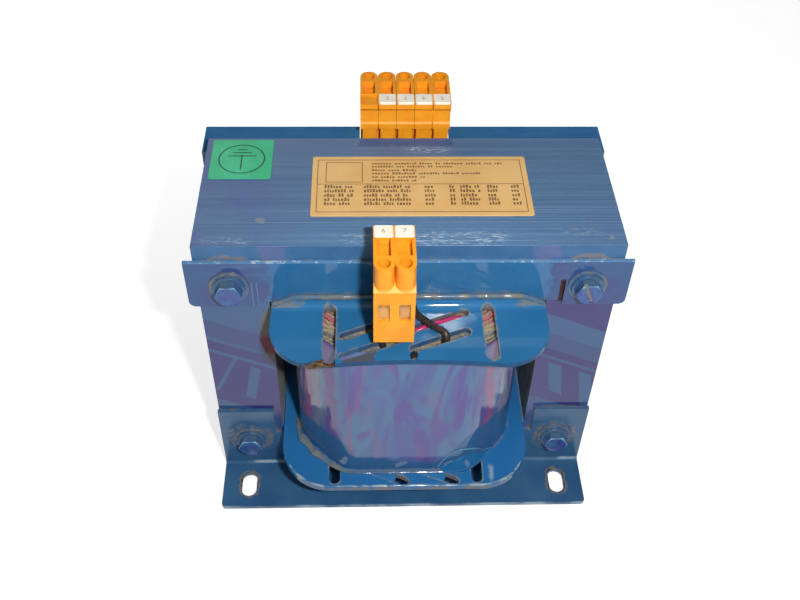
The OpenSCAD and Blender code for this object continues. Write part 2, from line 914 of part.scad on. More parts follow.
// Side outline of the housing: outer face with its ridge, flat top, stepped inner face
module housing_outline() {
    recess_y = -inner_y - recess_d;
    low_lip_y = -inner_y - low_lip_in;
    low_lip_top = shoulder + low_lip_h;
    polygon([
        [-outer_y, underside], [-outer_y, ledge - ridge_bevel],
        [-outer_y - ridge_out, ledge], [-outer_y - ridge_out, ledge + ridge_edge],
        [-well_y, ledge + ridge_rise], [-well_y, block_top],
        [-inner_y, block_top], [-inner_y, block_top - lip_h],
        [recess_y, block_top - lip_h - recess_d], [recess_y, low_lip_top + recess_d - low_lip_in],
        [low_lip_y, low_lip_top], [low_lip_y, shoulder],
        [-body_in, shoulder], [-body_in, underside]
    ]);
}

// Bosses round the screw wells, trimmed to the width of the housing
module bosses(poles, width) {
    low = ledge + ridge_edge;
    intersection() {
        at_poles(poles) translate([0, -well_y, low]) cylinder(r = boss_r, h = block_top - low);
        cube([width, far, far], center = true);
    }
}

// Feet that stand on the flange
module terminal_feet(poles) {
    at_poles(poles) translate([-terminal_foot_w / 2, -foot_in - terminal_foot_d, former_top])
        cube([terminal_foot_w, terminal_foot_d, shoulder_h]);
}

// Grooves down the inner face between the poles
module pole_grooves(poles) {
    depth = recess_d + groove_d;
    at_poles(poles - 1) translate([-groove_w / 2, -inner_y - depth, shoulder - cut])
        cube([groove_w, depth + cut, block_top - tag_seat - shoulder + cut]);
}

// Screw well, pocket, tag seat and wire entry of one pole
module pole_cuts() {
    translate([0, -well_y, entry_low + entry_h - eps]) cylinder(d = screw_d + 2 * screw_clear, h = far);
    translate([0, -well_y, well_low]) cylinder(d = well_d, h = far);
    translate([0, -inner_y - tag_l - tag_gap - pocket_l / 2, block_top])
        cube([pocket_w, pocket_l, 2 * pocket_d], center = true);
    translate([0, -inner_y, block_top]) cube([tag_w, 2 * tag_l, 2 * tag_seat], center = true);
    translate([-entry_w / 2, -outer_y - cut, entry_low]) cube([entry_w, entry_d + cut, entry_h]);
}

// Moulded housing for a number of poles
module housing(poles) {
    width = poles * pole_w - block_gap;
    difference() {
        union() {
            along_x(-width / 2, width / 2) housing_outline();
            bosses(poles, width);
            terminal_feet(poles);
        }
        at_poles(poles) pole_cuts();
        if (poles > 1) pole_grooves(poles);
    }
}

// Clamping cage of one pole, with its wire gap under the screw
module cage() {
    gap_low = cage_h - cage_top - wire_gap;
    translate([-cage_w / 2, -outer_y + cage_in, entry_low]) difference() {
        cube([cage_w, cage_d, cage_h]);
        translate([cage_wall, -cut, gap_low]) cube([cage_w - 2 * cage_wall, cage_d + 2 * cut, wire_gap]);
        translate([cage_w / 2, well_in - cage_in, cage_h - cage_top - eps])
            cylinder(d = screw_d, h = cage_top + cut);
    }
}

// Clamping screw of one pole, with its slotted head on the bottom of the well
module clamp_screw() {
    low = entry_low + cage_h - cage_top;
    difference() {
        translate([0, -well_y, 0]) {
            translate([0, 0, low]) cylinder(d = screw_d, h = well_low - low + eps);
            translate([0, 0, well_low]) cylinder(d = well_d - 2 * screw_clear, h = screw_head_h);
        }
        translate([0, -well_y, well_low + screw_head_h]) rotate(screw_slot_turn)
            cube([well_d, screw_slot_w, 2 * screw_slot_d], center = true);
    }
}

module tag() {
    translate([-tag_w / 2, -inner_y - tag_l, block_top - tag_seat]) cube([tag_w, tag_l, tag_t]);
}

// Places children at the front block
module at_front_block() {
    translate([front_block_x, 0, 0]) children();
}

// Places children at a rear block whose middle lies a number of poles from the middle of the row
module at_rear_block(offset) {
    rear() translate([rear_row_x + offset * pole_w, 0, 0]) children();
}

module front_terminal_block() {
    color(orange) at_front_block() housing(2);
}

module rear_left_terminal_block() {
    color(orange) at_rear_block(-1.5) housing(2);
}

module rear_middle_terminal_block() {
    color(orange) at_rear_block(0) housing(1);
}

module rear_right_terminal_block() {
    color(orange) at_rear_block(1.5) housing(2);
}

module front_terminal_cages() {
    color(zinc) at_front_block() at_poles(2) cage();
}

module rear_terminal_cages() {
    color(zinc) at_rear_block(0) at_poles(rear_poles) cage();
}

module front_terminal_screws() {
    color(zinc) at_front_block() at_poles(2) clamp_screw();
}

module rear_terminal_screws() {
    color(zinc) at_rear_block(0) at_poles(rear_poles) clamp_screw();
}

module front_marker_tags() {
    color(tag_white) at_front_block() at_poles(2) tag();
}

// The first rear pole from the left carries no tag
module rear_marker_tags() {
    color(tag_white) at_rear_block(0.5) at_poles(rear_poles - 1) tag();
}

// Leads

// Unit vector along the route at point i
function route_dir(path, i) =
    let (d = path[min(i + 1, len(path) - 1)] - path[max(i - 1, 0)]) d / norm(d);

// Ring of points round point i of the route
function route_ring(path, i, r, sides) =
    let (
        t = route_dir(path, i),
        u0 = cross(t, across_route),
        u = u0 / norm(u0),
        v = cross(t, u)
    )
    [for (k = [0 : sides - 1]) path[i] + r * (cos(360 * k / sides) * u + sin(360 * k / sides) * v)];

// Round tube along a route
module tube(path, d, sides = 10) {
    n = len(path);
    points = [for (i = [0 : n - 1]) each route_ring(path, i, d / 2, sides)];
    walls = [
        for (i = [0 : n - 2], k = [0 : sides - 1])
            let (k2 = (k + 1) % sides)
            [i * sides + k, (i + 1) * sides + k, (i + 1) * sides + k2, i * sides + k2]
    ];
    start = [for (k = [0 : sides - 1]) k];
    end = [for (k = [0 : sides - 1]) n * sides - 1 - k];
    polyhedron(points, concat(walls, [start, end]), convexity = 6);
}

// Short lead at x from the winding through a column's outer slanted slot into a housing's underside
module short_lead(column, x) {
    y = slant_y(column) + (x - slant_x(column)) * tan(slant_angle);
    translate([x, y, coil_top]) cylinder(d = lead_d, h = underside - coil_top);
}

module front_leads() {
    color(sleeve_dark) {
        short_lead(-1, front_block_x - pole_w / 2);
        tube([for (p = lead_route) [p[0], -face - p[1], former_top + p[2]]], sleeved_d);
    }
}

// The rear flange's slots are turned half round, and so are its leads
// The middle pole lies beside its slot, so its lead keeps to the end of the slot
module rear_leads() {
    slot_end = slant_x(1) - (slant_run - slant_w) / 2;
    color(sleeve_dark) rotate(180) for (k = [-2 : 2])
        short_lead(k < 0 ? -1 : 1, k == 0 ? slot_end : -rear_row_x + k * pole_w);
}

// Labels

module rating_plate() {
    color(label_tan) translate([plate_x, plate_y, core_top]) linear_extrude(plate_t)
        round_rect(plate_l / 2, plate_w / 2, label_corner);
}

module earth_label() {
    x = -core_w / 2 + earth_x + earth_l / 2;
    y = face - earth_y - earth_w / 2;
    color(label_green) translate([x, y, core_top]) linear_extrude(earth_t)
        round_rect(earth_l / 2, earth_w / 2, label_corner);
}

e_laminations();
i_laminations();
coil_former();
primary_winding();
interwinding_insulation();
secondary_winding();
outer_wrap();
front_upper_clamp();
rear_upper_clamp();
front_foot_bracket();
rear_foot_bracket();
core_bolts();
bolt_sleeves();
fibre_washers();
plain_washers();
spring_washers();
core_nuts();
front_terminal_block();
rear_left_terminal_block();
rear_middle_terminal_block();
rear_right_terminal_block();
front_terminal_cages();
rear_terminal_cages();
front_terminal_screws();
rear_terminal_screws();
front_marker_tags();
rear_marker_tags();
front_leads();
rear_leads();
rating_plate();
earth_label();
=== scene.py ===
import random
from math import cos, exp, log, pi, radians, sin, sqrt

import bmesh
import bpy
from mathutils import Matrix, Vector, noise
from mathutils.geometry import tessellate_polygon


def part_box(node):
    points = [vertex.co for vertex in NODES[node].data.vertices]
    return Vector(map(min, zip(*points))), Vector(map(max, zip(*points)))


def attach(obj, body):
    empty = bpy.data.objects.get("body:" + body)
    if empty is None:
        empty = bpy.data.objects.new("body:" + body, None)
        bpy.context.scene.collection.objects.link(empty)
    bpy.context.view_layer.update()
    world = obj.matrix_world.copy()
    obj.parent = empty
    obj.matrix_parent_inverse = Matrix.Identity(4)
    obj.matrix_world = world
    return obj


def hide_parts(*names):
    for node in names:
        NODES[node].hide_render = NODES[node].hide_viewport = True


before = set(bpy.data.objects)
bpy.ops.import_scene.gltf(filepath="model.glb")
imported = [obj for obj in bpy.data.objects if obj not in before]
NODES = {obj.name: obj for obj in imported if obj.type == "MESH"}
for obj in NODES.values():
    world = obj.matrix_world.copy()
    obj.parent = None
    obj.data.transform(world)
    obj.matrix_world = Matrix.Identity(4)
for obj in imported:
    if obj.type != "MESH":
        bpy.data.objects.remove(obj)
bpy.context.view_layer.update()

MM = 0.001
FAR = 1000
random.seed(174)

# Camera, fitted to the photograph: pixels of its 800 wide frame, millimetres and degrees
FRAME_W = 800
FOCAL_PX = 977.75
SENSOR_W = 36
CAMERA_AT = (-17.87, -319.56, 408.27)
CAMERA_YAW = 2.870
CAMERA_PITCH = 45.883
CAMERA_ROLL = -1.704
CAMERA_NEAR = 10

# Light: lamps with place, size and power. The flash is small and stands close to the right of the camera.
# The glow of the world and of the floor goes from the front to the rear
LAMPS = {
    "flash": ((50, -335, 440), (26, 13), 2.1),
    "soft_key": ((140, -520, 760), (620, 620), 0.6),
    "rear_fill": ((-300, 640, 190), (420, 420), 2.4),
}
LAMP_TARGET = (0, 0, 90)
WORLD_GLOW = (0.2, 0.08)
FLOOR_GLOW = (0.6, 0.75)
FLOOR_SIZE = 16000
FLOOR_FADE = 300


def box_mm(*nodes):
    """Lowest and highest corner round CAD nodes, in millimetres"""
    boxes = [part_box(node) for node in nodes]
    low = Vector(min(box[0][axis] for box in boxes) for axis in range(3))
    high = Vector(max(box[1][axis] for box in boxes) for axis in range(3))
    return low / MM, high / MM


CORE_LOW, CORE_HIGH = box_mm("e_laminations", "i_laminations")
COIL_LOW, COIL_HIGH = box_mm("outer_wrap")
FORMER_HIGH = box_mm("coil_former")[1]
CLAMP_FRONT = box_mm("front_upper_clamp")[0].y

# Core: sheets of an EI lamination, in packets that face up and down in turn
CORE_W = CORE_HIGH.x - CORE_LOW.x
CORE_H = CORE_HIGH.z - CORE_LOW.z
SHEETS = 140
PACKETS = 10
LIMB = 29
CENTRE_LEG = 58
BOLT_X = 73.5
BOLT_EDGE = 21
UPPER_BOLT_Z = CORE_HIGH.z - BOLT_EDGE
LOWER_BOLT_Z = CORE_LOW.z + BOLT_EDGE
CORE_HOLE_R = 4
HOLE_POINTS = 16
SHEET_GAP = 0.008
SHEET_RAGGED = 0.04
SHEET_BURR = 0.045
BURR_SHARES = (0.2, 0.2, 0.3, 1)

# Coil former: rib, flanges and slots
RIB_H = 4.3
RIB_END_H = 0.4
RIB_FADE = 11
RIB_Y = 37.7
FLANGE_TOP = FORMER_HIGH.z - RIB_H
FLANGE_X = FORMER_HIGH.x
FLANGE_Y = FORMER_HIGH.y
FLANGE_DROOP = 3.4
TUBE_Y = 37.55
LONG_SLOT = {"length": 29.35, "width": 5, "turn": 90}
LONG_SLOT_AT = ((-32.7, -53.93), (32.7, -53.93))
SLANTED_SLOT = {"length": 26.95, "width": 4, "turn": 22.5}
SLANTED_SLOT_AT = ((-16.1, -62.0), (-16.1, -51.25), (12.1, -58.0), (12.1, -47.25))
LOWER_SLOT = {"length": 26.95, "width": 4, "turn": -22.5}
LOWER_SLOT_AT = ((-11.5, -63.4), (11.5, -63.4))

# Foot brackets
FIX_SLOT = {"length": 13, "width": 7, "turn": 90}
FIX_SLOT_AT = ((-75, -50.5), (75, -50.5))

# Terminals, with the place of each numbered tag
POLE_W = 8.05
FRONT_BLOCK_X = -7.05
REAR_ROW_X = 0.25
FRONT_TAGS = {6: FRONT_BLOCK_X - POLE_W / 2, 7: FRONT_BLOCK_X + POLE_W / 2}
REAR_TAGS = {2 + k: REAR_ROW_X + (k - 1) * POLE_W for k in range(4)}


def srgb(red, green, blue):
    """Linear colour of an sRGB triple from 0 to 255"""
    shares = [value / 255 for value in (red, green, blue)]
    linear = [share / 12.92 if share <= 0.04045 else ((share + 0.055) / 1.055) ** 2.4 for share in shares]
    return (*linear, 1)


def having(thing, **settings):
    for key, value in settings.items():
        setattr(thing, key, value)
    return thing


DUST = (120, 142, 162)
TAN_DIRT = (138, 124, 100)
BROWN_SLOT_SHADE = (104, 74, 52)
# Near black: grime, and painted shade in corners, slots and under the coil
DARK_DIRT_AND_SHADE = (30, 24, 22)
LILAC_REFLECTION = (96, 98, 150)


class Finish:
    """A material in the making: colours are sRGB triples, patterns are in millimetres"""

    def __init__(self, name):
        self.material = bpy.data.materials.new(name)
        self.material.use_nodes = True
        self.tree = self.material.node_tree
        self.shader = self.tree.nodes["Principled BSDF"]
        self.tone = None
        place = self.tree.nodes.new("ShaderNodeTexCoord").outputs["Object"]
        self.place = self.vector("SCALE", place, scale=1 / MM)
        self.x, self.y, self.z = self.add("ShaderNodeSeparateXYZ", {0: self.place}).outputs
        self.far_x = self.maths("ABSOLUTE", self.x)
        self.far_y = self.maths("ABSOLUTE", self.y)

    def put(self, socket, value):
        if isinstance(value, bpy.types.NodeSocket):
            self.tree.links.new(value, socket)
        else:
            socket.default_value = value

    def add(self, kind, inputs, **settings):
        made = having(self.tree.nodes.new(kind), **settings)
        for key, value in inputs.items():
            self.put(made.inputs[key], value)
        return made

    def set(self, **sockets):
        """Sets the shader's sockets, named with underscores for spaces"""
        for key, value in sockets.items():
            self.put(self.shader.inputs[key.replace("_", " ")], value)

    def vector(self, operation, first, second=(0, 0, 0), scale=1.0):
        made = self.add("ShaderNodeVectorMath", {0: first, 1: second, 3: scale}, operation=operation)
        return made.outputs["Value" if operation == "LENGTH" else "Vector"]

    def maths(self, operation, first, second=0.0):
        return self.add("ShaderNodeMath", {0: first, 1: second}, operation=operation).outputs[0]

    def times(self, *values):
        result = values[0]
        for value in values[1:]:
            result = self.maths("MULTIPLY", result, value)
        return result

    def noise(self, per_mm, detail=3, stretch=(1, 1, 1), warp=0):
        place = self.vector("MULTIPLY", self.place, stretch)
        inputs = {"Vector": place, "Scale": per_mm, "Detail": detail, "Distortion": warp}
        return self.add("ShaderNodeTexNoise", inputs).outputs["Fac"]

    def facing(self, axis, either_way=False):
        """A component of the surface normal, or its size"""
        normal = self.add("ShaderNodeNewGeometry", {}).outputs["Normal"]
        part = self.add("ShaderNodeSeparateXYZ", {0: normal}).outputs[axis]
        return self.maths("ABSOLUTE", part) if either_way else part

    def openness(self, reach):
        """1 on an open surface, less in corners and gaps"""
        return self.add("ShaderNodeAmbientOcclusion", {"Distance": reach * MM}, samples=6).outputs["AO"]

    def ramp(self, value, start, end, low=0.0, high=1.0):
        """Goes smoothly from low at start to high at end"""
        inputs = {"Value": value, "From Min": start, "From Max": end, "To Min": low, "To Max": high}
        return self.add("ShaderNodeMapRange", inputs, interpolation_type="SMOOTHSTEP").outputs["Result"]

    def blend(self, share, first, second):
        return self.add("ShaderNodeMix", {0: share, 2: first, 3: second}, data_type="FLOAT").outputs[0]

    def mix(self, share, first, second):
        first, second = (srgb(*colour) if isinstance(colour, tuple) else colour for colour in (first, second))
        return self.add("ShaderNodeMix", {0: share, 6: first, 7: second}, data_type="RGBA").outputs[2]

    def patches(self, per_mm, start, end, low=0.0, high=1.0, detail=3, stretch=(1, 1, 1)):
        """Noise as soft patches, from low to high"""
        return self.ramp(self.noise(per_mm, detail, stretch), start, end, low, high)

    def mottled(self, per_mm, start, end, first, second, detail=3, stretch=(1, 1, 1)):
        return self.mix(self.patches(per_mm, start, end, detail=detail, stretch=stretch), first, second)

    def lay(self, colour, *masks):
        """Lays a colour on the tone so far, where all masks are 1"""
        self.tone = self.mix(self.times(*masks), self.tone, colour)

    def ragged(self, coordinate, amount):
        """A coordinate that wavers by an amount"""
        return self.maths("ADD", coordinate, self.patches(0.35, 0.25, 0.75, -amount, amount))

    def inside(self, coordinate, low, high, soft=0.6):
        """1 between two values of a coordinate, with soft ends"""
        rise = self.ramp(coordinate, low - soft, low + soft)
        return self.times(rise, self.ramp(coordinate, high + soft, high - soft))

    def oval(self, centre, halves):
        """Distance from a point, in half sizes of an oval along each axis"""
        away = self.vector("DIVIDE", self.vector("SUBTRACT", self.place, centre), halves)
        return self.vector("LENGTH", away)

    def off_slots(self, places, length, width, turn, half_turn=True):
        """Distance from the nearest of some slots with round ends, at the front and the rear"""
        flip = self.times(self.maths("SIGN", self.y), -1.0)
        across = self.times(self.x, flip) if half_turn else self.x
        seen = self.add("ShaderNodeCombineXYZ", {0: across, 1: self.times(self.y, flip)}).outputs[0]
        nearest = FAR
        for x, y in places:
            inputs = {"Vector": seen, "Location": (x, y, 0), "Rotation": (0, 0, radians(turn))}
            local = self.add("ShaderNodeMapping", inputs, vector_type="TEXTURE").outputs[0]
            local = self.vector("SUBTRACT", self.vector("ABSOLUTE", local), ((length - width) / 2, 0, 0))
            away = self.vector("LENGTH", self.vector("MAXIMUM", local))
            nearest = self.maths("MINIMUM", self.maths("SUBTRACT", away, width / 2), nearest)
        return nearest

    def stain(self, colour, amount, reach=3.0):
        """Lays a colour in the corners, broken up by a coarse pattern: grime where it is tan, painted shade
        where it is darker
        """
        corner = self.ramp(self.openness(reach), 0.86, 0.5)
        self.lay(colour, corner, self.patches(0.22, 0.38, 0.62, detail=4), amount)

    def bolt_rings(self, z, ring, soft, waver, *masks):
        """Lays rings of tan dirt round the two bolts at a height"""
        for side in (-1, 1):
            away = self.ragged(self.oval((side * BOLT_X, 0, z), (1, FAR, 1)), waver)
            self.lay(TAN_DIRT, self.inside(away, *ring, soft), *masks)

    def blotch(self, deep, pale):
        """Starts the tone as two colours in blotches and runs, with dust specks"""
        self.tone = self.mottled(0.05, 0.3, 0.7, deep, pale, 4)
        self.lay(pale, self.patches(0.3, 0.5, 0.75, 0, 0.3, stretch=(1, 1, 0.2)))
        self.lay(DUST, self.patches(1.6, 0.7, 0.76, 0, 0.3, 2))

    def dulled(self, per_mm, low, high):
        return self.patches(per_mm, 0.3, 0.7, low, high)

    def coat(self, rough, *bumps, **sockets):
        """Gives the shader the tone, a roughness, and bumps as pairs of a pattern and a depth"""
        self.set(Base_Color=self.tone, Roughness=rough, **sockets)
        normal = None
        for height, depth in bumps:
            inputs = {"Height": height, "Distance": depth * MM, "Strength": 1.0}
            if normal is not None:
                inputs["Normal"] = normal
            normal = self.add("ShaderNodeBump", inputs).outputs["Normal"]
        self.set(Normal=normal)
        return self.material

    def lacquer(self, dull=(0.1, 0.24), wave=0.08, streak=0.0, grain=0.01, rougher=0.0):
        """Glossy coat with soft waves, and fine streaks that run from side to side"""
        streaks = self.noise(1.4, 2, (0.12, 1, 1))
        bumps = (self.noise(0.09, 2), wave), (self.noise(0.9, 3), grain), (streaks, streak)
        return self.coat(self.maths("ADD", self.dulled(0.15, *dull), rougher), *bumps, IOR=1.5)


# Marks on the clamps and the feet
CLAMP_CREST_Z = (137.2, 137.8)
RIGHT_SLIT_X = (62.3, 64.5)
RIGHT_SLIT_HEAD = (128, 127.4)
FOOT_RING = (8, 10.5)
FOOT_SHADE_Y = (36, 45)
FOOT_BEND_Y = (36.6, 38)
FOOT_EDGE_Y = (62.3, 62.9)


def clamp_finish():
    """Blue in front of the coil former, violet towards the ends, with a pale crest that is wear and a painted
    highlight, and painted shade in the right slit
    """
    f = Finish("blue_varnished_clamp")
    f.blotch((41, 100, 149), (52, 111, 157))
    violet = f.mottled(0.06, 0.35, 0.6, (56, 66, 124), (46, 80, 130))
    f.lay(violet, f.ramp(f.ragged(f.far_x, 2.5), 55.5, 60), f.ramp(f.y, 0, -10), 0.9)
    f.lay((60, 112, 158), f.patches(0.5, 0.5, 0.7, stretch=(0.12, 1, 1)), f.ramp(f.z, 126, 137), 0.5)
    # Pale crest along the top edge: wear and a painted highlight
    crest = f.times(f.ramp(f.z, *CLAMP_CREST_Z), f.ramp(f.y, -33, -35))
    f.lay(f.mottled(0.4, 0.56, 0.68, (84, 136, 176), (176, 198, 212)), crest, 0.8)
    f.stain(TAN_DIRT, 0.4)
    # Dark red on the walls of the right slit: painted shade in the gap
    slit = f.inside(f.x, *RIGHT_SLIT_X, 0.05), f.ramp(f.z, *RIGHT_SLIT_HEAD), f.ramp(f.y, -30, -33)
    f.lay((44, 8, 12), *slit)
    return f.lacquer((0.05, 0.12), 0.03, rougher=f.times(crest, 0.25))


def foot_finish():
    """Deep blue, with tan grime round the fixing slots and the bolts, dark at the slot edges, painted shade
    under the coil, and pale lines along the bend and the front edge that are painted highlights
    """
    f = Finish("blue_varnished_feet")
    f.blotch((42, 84, 124), (55, 97, 132))
    away = f.ragged(f.off_slots(FIX_SLOT_AT, **FIX_SLOT, half_turn=False), 0.8)
    level = f.ramp(f.facing(2), 0.4, 0.8)
    f.lay(TAN_DIRT, f.ramp(away, 1.9, 0.5), level, 0.7)
    f.lay(DARK_DIRT_AND_SHADE, f.ramp(away, 0.7, 0.1), level, 0.8)
    f.bolt_rings(LOWER_BOLT_Z, FOOT_RING, 1.2, 1.6, f.patches(0.3, 0.35, 0.6), 0.5)
    # Near black under the coil: painted shade
    f.lay(DARK_DIRT_AND_SHADE, f.ramp(f.far_x, 56, 46), f.inside(f.far_y, *FOOT_SHADE_Y, 3), level, 0.6)
    f.stain(TAN_DIRT, 0.5)
    # Pale lines along the bend and the front edge: painted highlights
    bend = f.times(f.inside(f.far_y, *FOOT_BEND_Y, 0.3), f.ramp(f.z, 4, 3))
    wear_and_highlight = f.maths("MAXIMUM", bend, f.ramp(f.far_y, *FOOT_EDGE_Y))
    f.lay((158, 178, 194), wear_and_highlight, f.patches(0.06, 0.4, 0.6), 0.7)
    return f.lacquer((0.1, 0.26))


# Marks on the coil former, and the heights that part its lower and its upper flange
LOWER_FLANGE_Z = (60, 40)
UPPER_FLANGE_Z = (100, 110)
SLOT_WALL_Z = ((114.6, 113.6), (111, 112))
SCUFF = ((-27, -14.4), (-71, -64))
SHELF = ((43, 47), (40.6, 39.4))
BREAK = ((-45.2, -30), (-66.8, -67.2), (112, 114.7))
STREAK_HIGHLIGHT = ((38.6, 40.2), (-67.6, -60.2))


def former_finish():
    """Even bright blue, with tan rims round the slots, a scuff, a brown break at the front edge, painted
    shade in the slots and on upright faces, and a painted highlight streak
    """
    f = Finish("blue_varnished_former")
    f.tone = f.mottled(0.03, 0.3, 0.7, (38, 102, 148), (44, 110, 158))
    f.lay(DUST, f.patches(1.6, 0.71, 0.77, 0, 0.3, 2))
    low, high = f.ramp(f.z, *LOWER_FLANGE_Z), f.ramp(f.z, *UPPER_FLANGE_Z)
    f.lay((36, 100, 154), low)
    off_long = f.off_slots(LONG_SLOT_AT, **LONG_SLOT)
    upper = f.maths("MINIMUM", off_long, f.off_slots(SLANTED_SLOT_AT, **SLANTED_SLOT))
    lower = f.maths("MINIMUM", off_long, f.off_slots(LOWER_SLOT_AT, **LOWER_SLOT))
    away = f.blend(low, upper, lower)
    f.lay((128, 128, 120), f.ramp(f.ragged(away, 0.4), 0.9, 0.1), f.patches(0.25, 0.3, 0.55), 0.8)
    # Brown on the walls of the upper flange's slots: painted shade
    f.lay(BROWN_SLOT_SHADE, f.ramp(away, 0.5, 0.0), *(f.ramp(f.z, *ends) for ends in SLOT_WALL_Z), 0.6)
    scuff = f.inside(f.ragged(f.x, 1.2), *SCUFF[0]), f.inside(f.ragged(f.y, 1.2), *SCUFF[1])
    f.lay((80, 78, 80), *scuff, high, 0.9)
    shelf = f.ramp(f.ragged(f.far_x, 2), *SHELF[0]), f.ramp(f.ragged(f.far_y, 0.6), *SHELF[1])
    f.lay((118, 118, 106), *shelf, high, 0.7)
    # Brown break at the front edge: raw plastic, its dark brown partly painted shade in the crack
    broken = f.times(f.inside(f.x, *BREAK[0], 0.2), f.ramp(f.y, *BREAK[1]), f.inside(f.z, *BREAK[2], 0.1))
    f.lay(f.mottled(0.6, 0.4, 0.6, (52, 36, 28), (120, 94, 66)), broken)
    # Front and back edges: tan grime on the lower flange, and on the upper flange a darker blue that is
    # painted shade
    edge = f.times(f.ramp(f.facing(1, True), 0.55, 0.9), f.ramp(f.far_y, 50, 60))
    f.lay(f.mix(low, (36, 78, 122), (112, 104, 92)), edge, f.patches(0.2, 0.35, 0.6, detail=4), 0.8)
    # Near black on the walls of the lower flange's slots: painted shade
    f.lay(DARK_DIRT_AND_SHADE, f.ramp(away, 0.4, 0.0), low, f.ramp(f.facing(2), 0.7, 0.4), 0.85)
    # A short pale streak on the lower flange: a painted highlight
    streak_highlight = f.inside(f.ragged(f.x, 0.4), *STREAK_HIGHLIGHT[0], 0.9), f.inside(f.y, *STREAK_HIGHLIGHT[1], 1.5)
    f.lay((170, 184, 190), *streak_highlight, low, 0.55)
    # Darker blue on the upright faces of the upper flange: painted shade
    upright = f.times(f.ramp(f.facing(2, True), 0.6, 0.25), f.ramp(f.far_y, 42, 47), high)
    f.lay((30, 76, 120), upright, f.maths("SUBTRACT", 1.0, broken), 0.7)
    f.stain(TAN_DIRT, 0.5)
    f.set(Specular_IOR_Level=f.ramp(upright, 0, 1, 0.35, 0.08))
    return f.lacquer((0.03, 0.07), 0.03, 0.004)


# On top of the core: a darker patch that is a painted reflection, painted glints with their half sizes and
# strength,
# and spots. On the legs: pale bands from foot to head with their strength, along a slanted line, and bars
# with their middle at one level, lean, half width, foot and head. Then a red and tan crescent along the lower
# flange's edge, a painted reflection and shadow of that edge; rusty red-brown and painted shade behind the
# clamp's right slit; and the strip above the clamp, with painted lilac reflections
TOP_MIRROR = ((-20.5, 21), (28.5, 30.5))
TOP_SPARKLES = (
    (9, 26.8, 9, 2.2, 1), (20, -31, 18, 4, 0.8), (-20, -31, 10, 3, 0.5),
    (-74, -32, 10, 2, 0.5), (68, -27, 8, 2, 0.4),
)
TOP_SPOTS = ((-60.5, -19.8, 2.2), (81.1, -30.6, 1.7))
LEG_MIDDLE = 72.5
LEG_SLANT = 0.45
LEG_LEVEL = 75
LEG_PATTERNS = {
    -1: (((97, 140, 1), (87, 97, 0.45), (84.5, 87, 1), (76.5, 78.7, 1), (20, 43.5, 0.8)),
         ((6, 0.2, 2.3, 51, 74), (-4.6, 0.48, 1, 50, 77))),
    1: (((88.7, 100, 1), (79, 88.7, 0.55), (72.6, 74.4, 0.8), (20, 44, 0.8)),
        ((-5.6, -0.135, 3, 51, 70), (8.1, -0.156, 2.8, 48, 70))),
}
CRESCENT_OVAL = ((-54, 0, 93), (10, FAR, 21))
CRESCENT_RED_Z = (81, 93)
SLIT_BACK = ((61.6, 65.2), (113.6, 128))
STRIP_Z = (137, 138)
STRIP_REFLECTION_X = (50, 60)
STRIP_RING = (14.2, 16.3)
WINDOW_X = (60, 59)


def core_top(f, line, broad):
    """Slate with fine lines, lilac at the left and paler at the front, with a painted reflection, painted
    glints and spots
    """
    f.tone = f.mix(f.ramp(line, 0.36, 0.62), (74, 108, 146), (86, 120, 156))
    f.lay((78, 88, 146), f.ramp(f.x, -30, -84), f.ramp(broad, 0.25, 0.6), 0.6)
    f.lay((88, 100, 136), f.ramp(f.y, 5, 36, 0, 0.25))
    f.lay((84, 134, 176), f.ramp(f.y, -5, -34), f.ramp(f.far_x, 80, 30), 0.4)
    # A darker patch in front of the rear terminals: a painted reflection
    mirror = f.inside(f.ragged(f.x, 1), *TOP_MIRROR[0]), f.ramp(f.ragged(f.y, 0.8), *TOP_MIRROR[1])
    f.lay((32, 78, 132), *mirror, 0.8)
    # Pale dashes: painted glints
    dash = f.patches(1.0, 0.55, 0.68, detail=2, stretch=(0.4, 3, 1))
    for x, y, half_x, half_y, share in TOP_SPARKLES:
        place = f.inside(f.x, x - half_x, x + half_x, 4), f.inside(f.y, y - half_y, y + half_y, 1.5)
        f.lay((206, 222, 236), *place, dash, share)
    for x, y, radius in TOP_SPOTS:
        away = f.ragged(f.oval((x, y, 0), (1, 1, FAR)), 0.6)
        f.lay((150, 152, 138), f.ramp(away, radius, radius - 0.8, 0, 0.5))
    return f.tone


def leg_bands(f):
    """1 in the pale bands and bars of the legs"""
    pale = 0.0
    for side, (bands, bars) in LEG_PATTERNS.items():
        across = f.maths("SUBTRACT", f.x, side * LEG_MIDDLE)
        slanted = f.maths("ADD", f.z, f.times(across, LEG_SLANT))
        own = f.ramp(f.times(f.x, side), -1, 1)
        for foot, head, share in bands:
            pale = f.maths("MAXIMUM", f.times(f.inside(slanted, foot, head, 0.5), own, share), pale)
        for middle, lean, half, foot, head in bars:
            off = f.maths("ADD", across, f.times(f.maths("SUBTRACT", LEG_LEVEL, f.z), lean))
            bar = f.times(f.inside(off, middle - half, middle + half), f.inside(slanted, foot, head), own)
            pale = f.maths("MAXIMUM", bar, pale)
    return pale


def core_front(f, broad, front, strip):
    """Violet legs with steel blue bands, and a bluer strip with tan arcs and painted lilac reflections above
    the clamp
    """
    f.tone = f.mix(f.times(leg_bands(f), front), (39, 33, 107), (38, 84, 132))
    f.lay((60, 66, 128), f.ramp(broad, 0.35, 0.65, 0, 0.3))
    legs = f.tone
    f.tone = f.mottled(0.12, 0.35, 0.65, (40, 92, 138), (48, 100, 146))
    # Lilac on the strip near both ends: painted reflections
    f.lay(LILAC_REFLECTION, f.inside(f.ragged(f.far_x, 2), *STRIP_REFLECTION_X, 1.5), 0.55)
    f.bolt_rings(UPPER_BOLT_Z, STRIP_RING, 0.9, 0.5, f.patches(0.25, 0.3, 0.6), 0.7)
    return f.mix(strip, legs, f.tone)


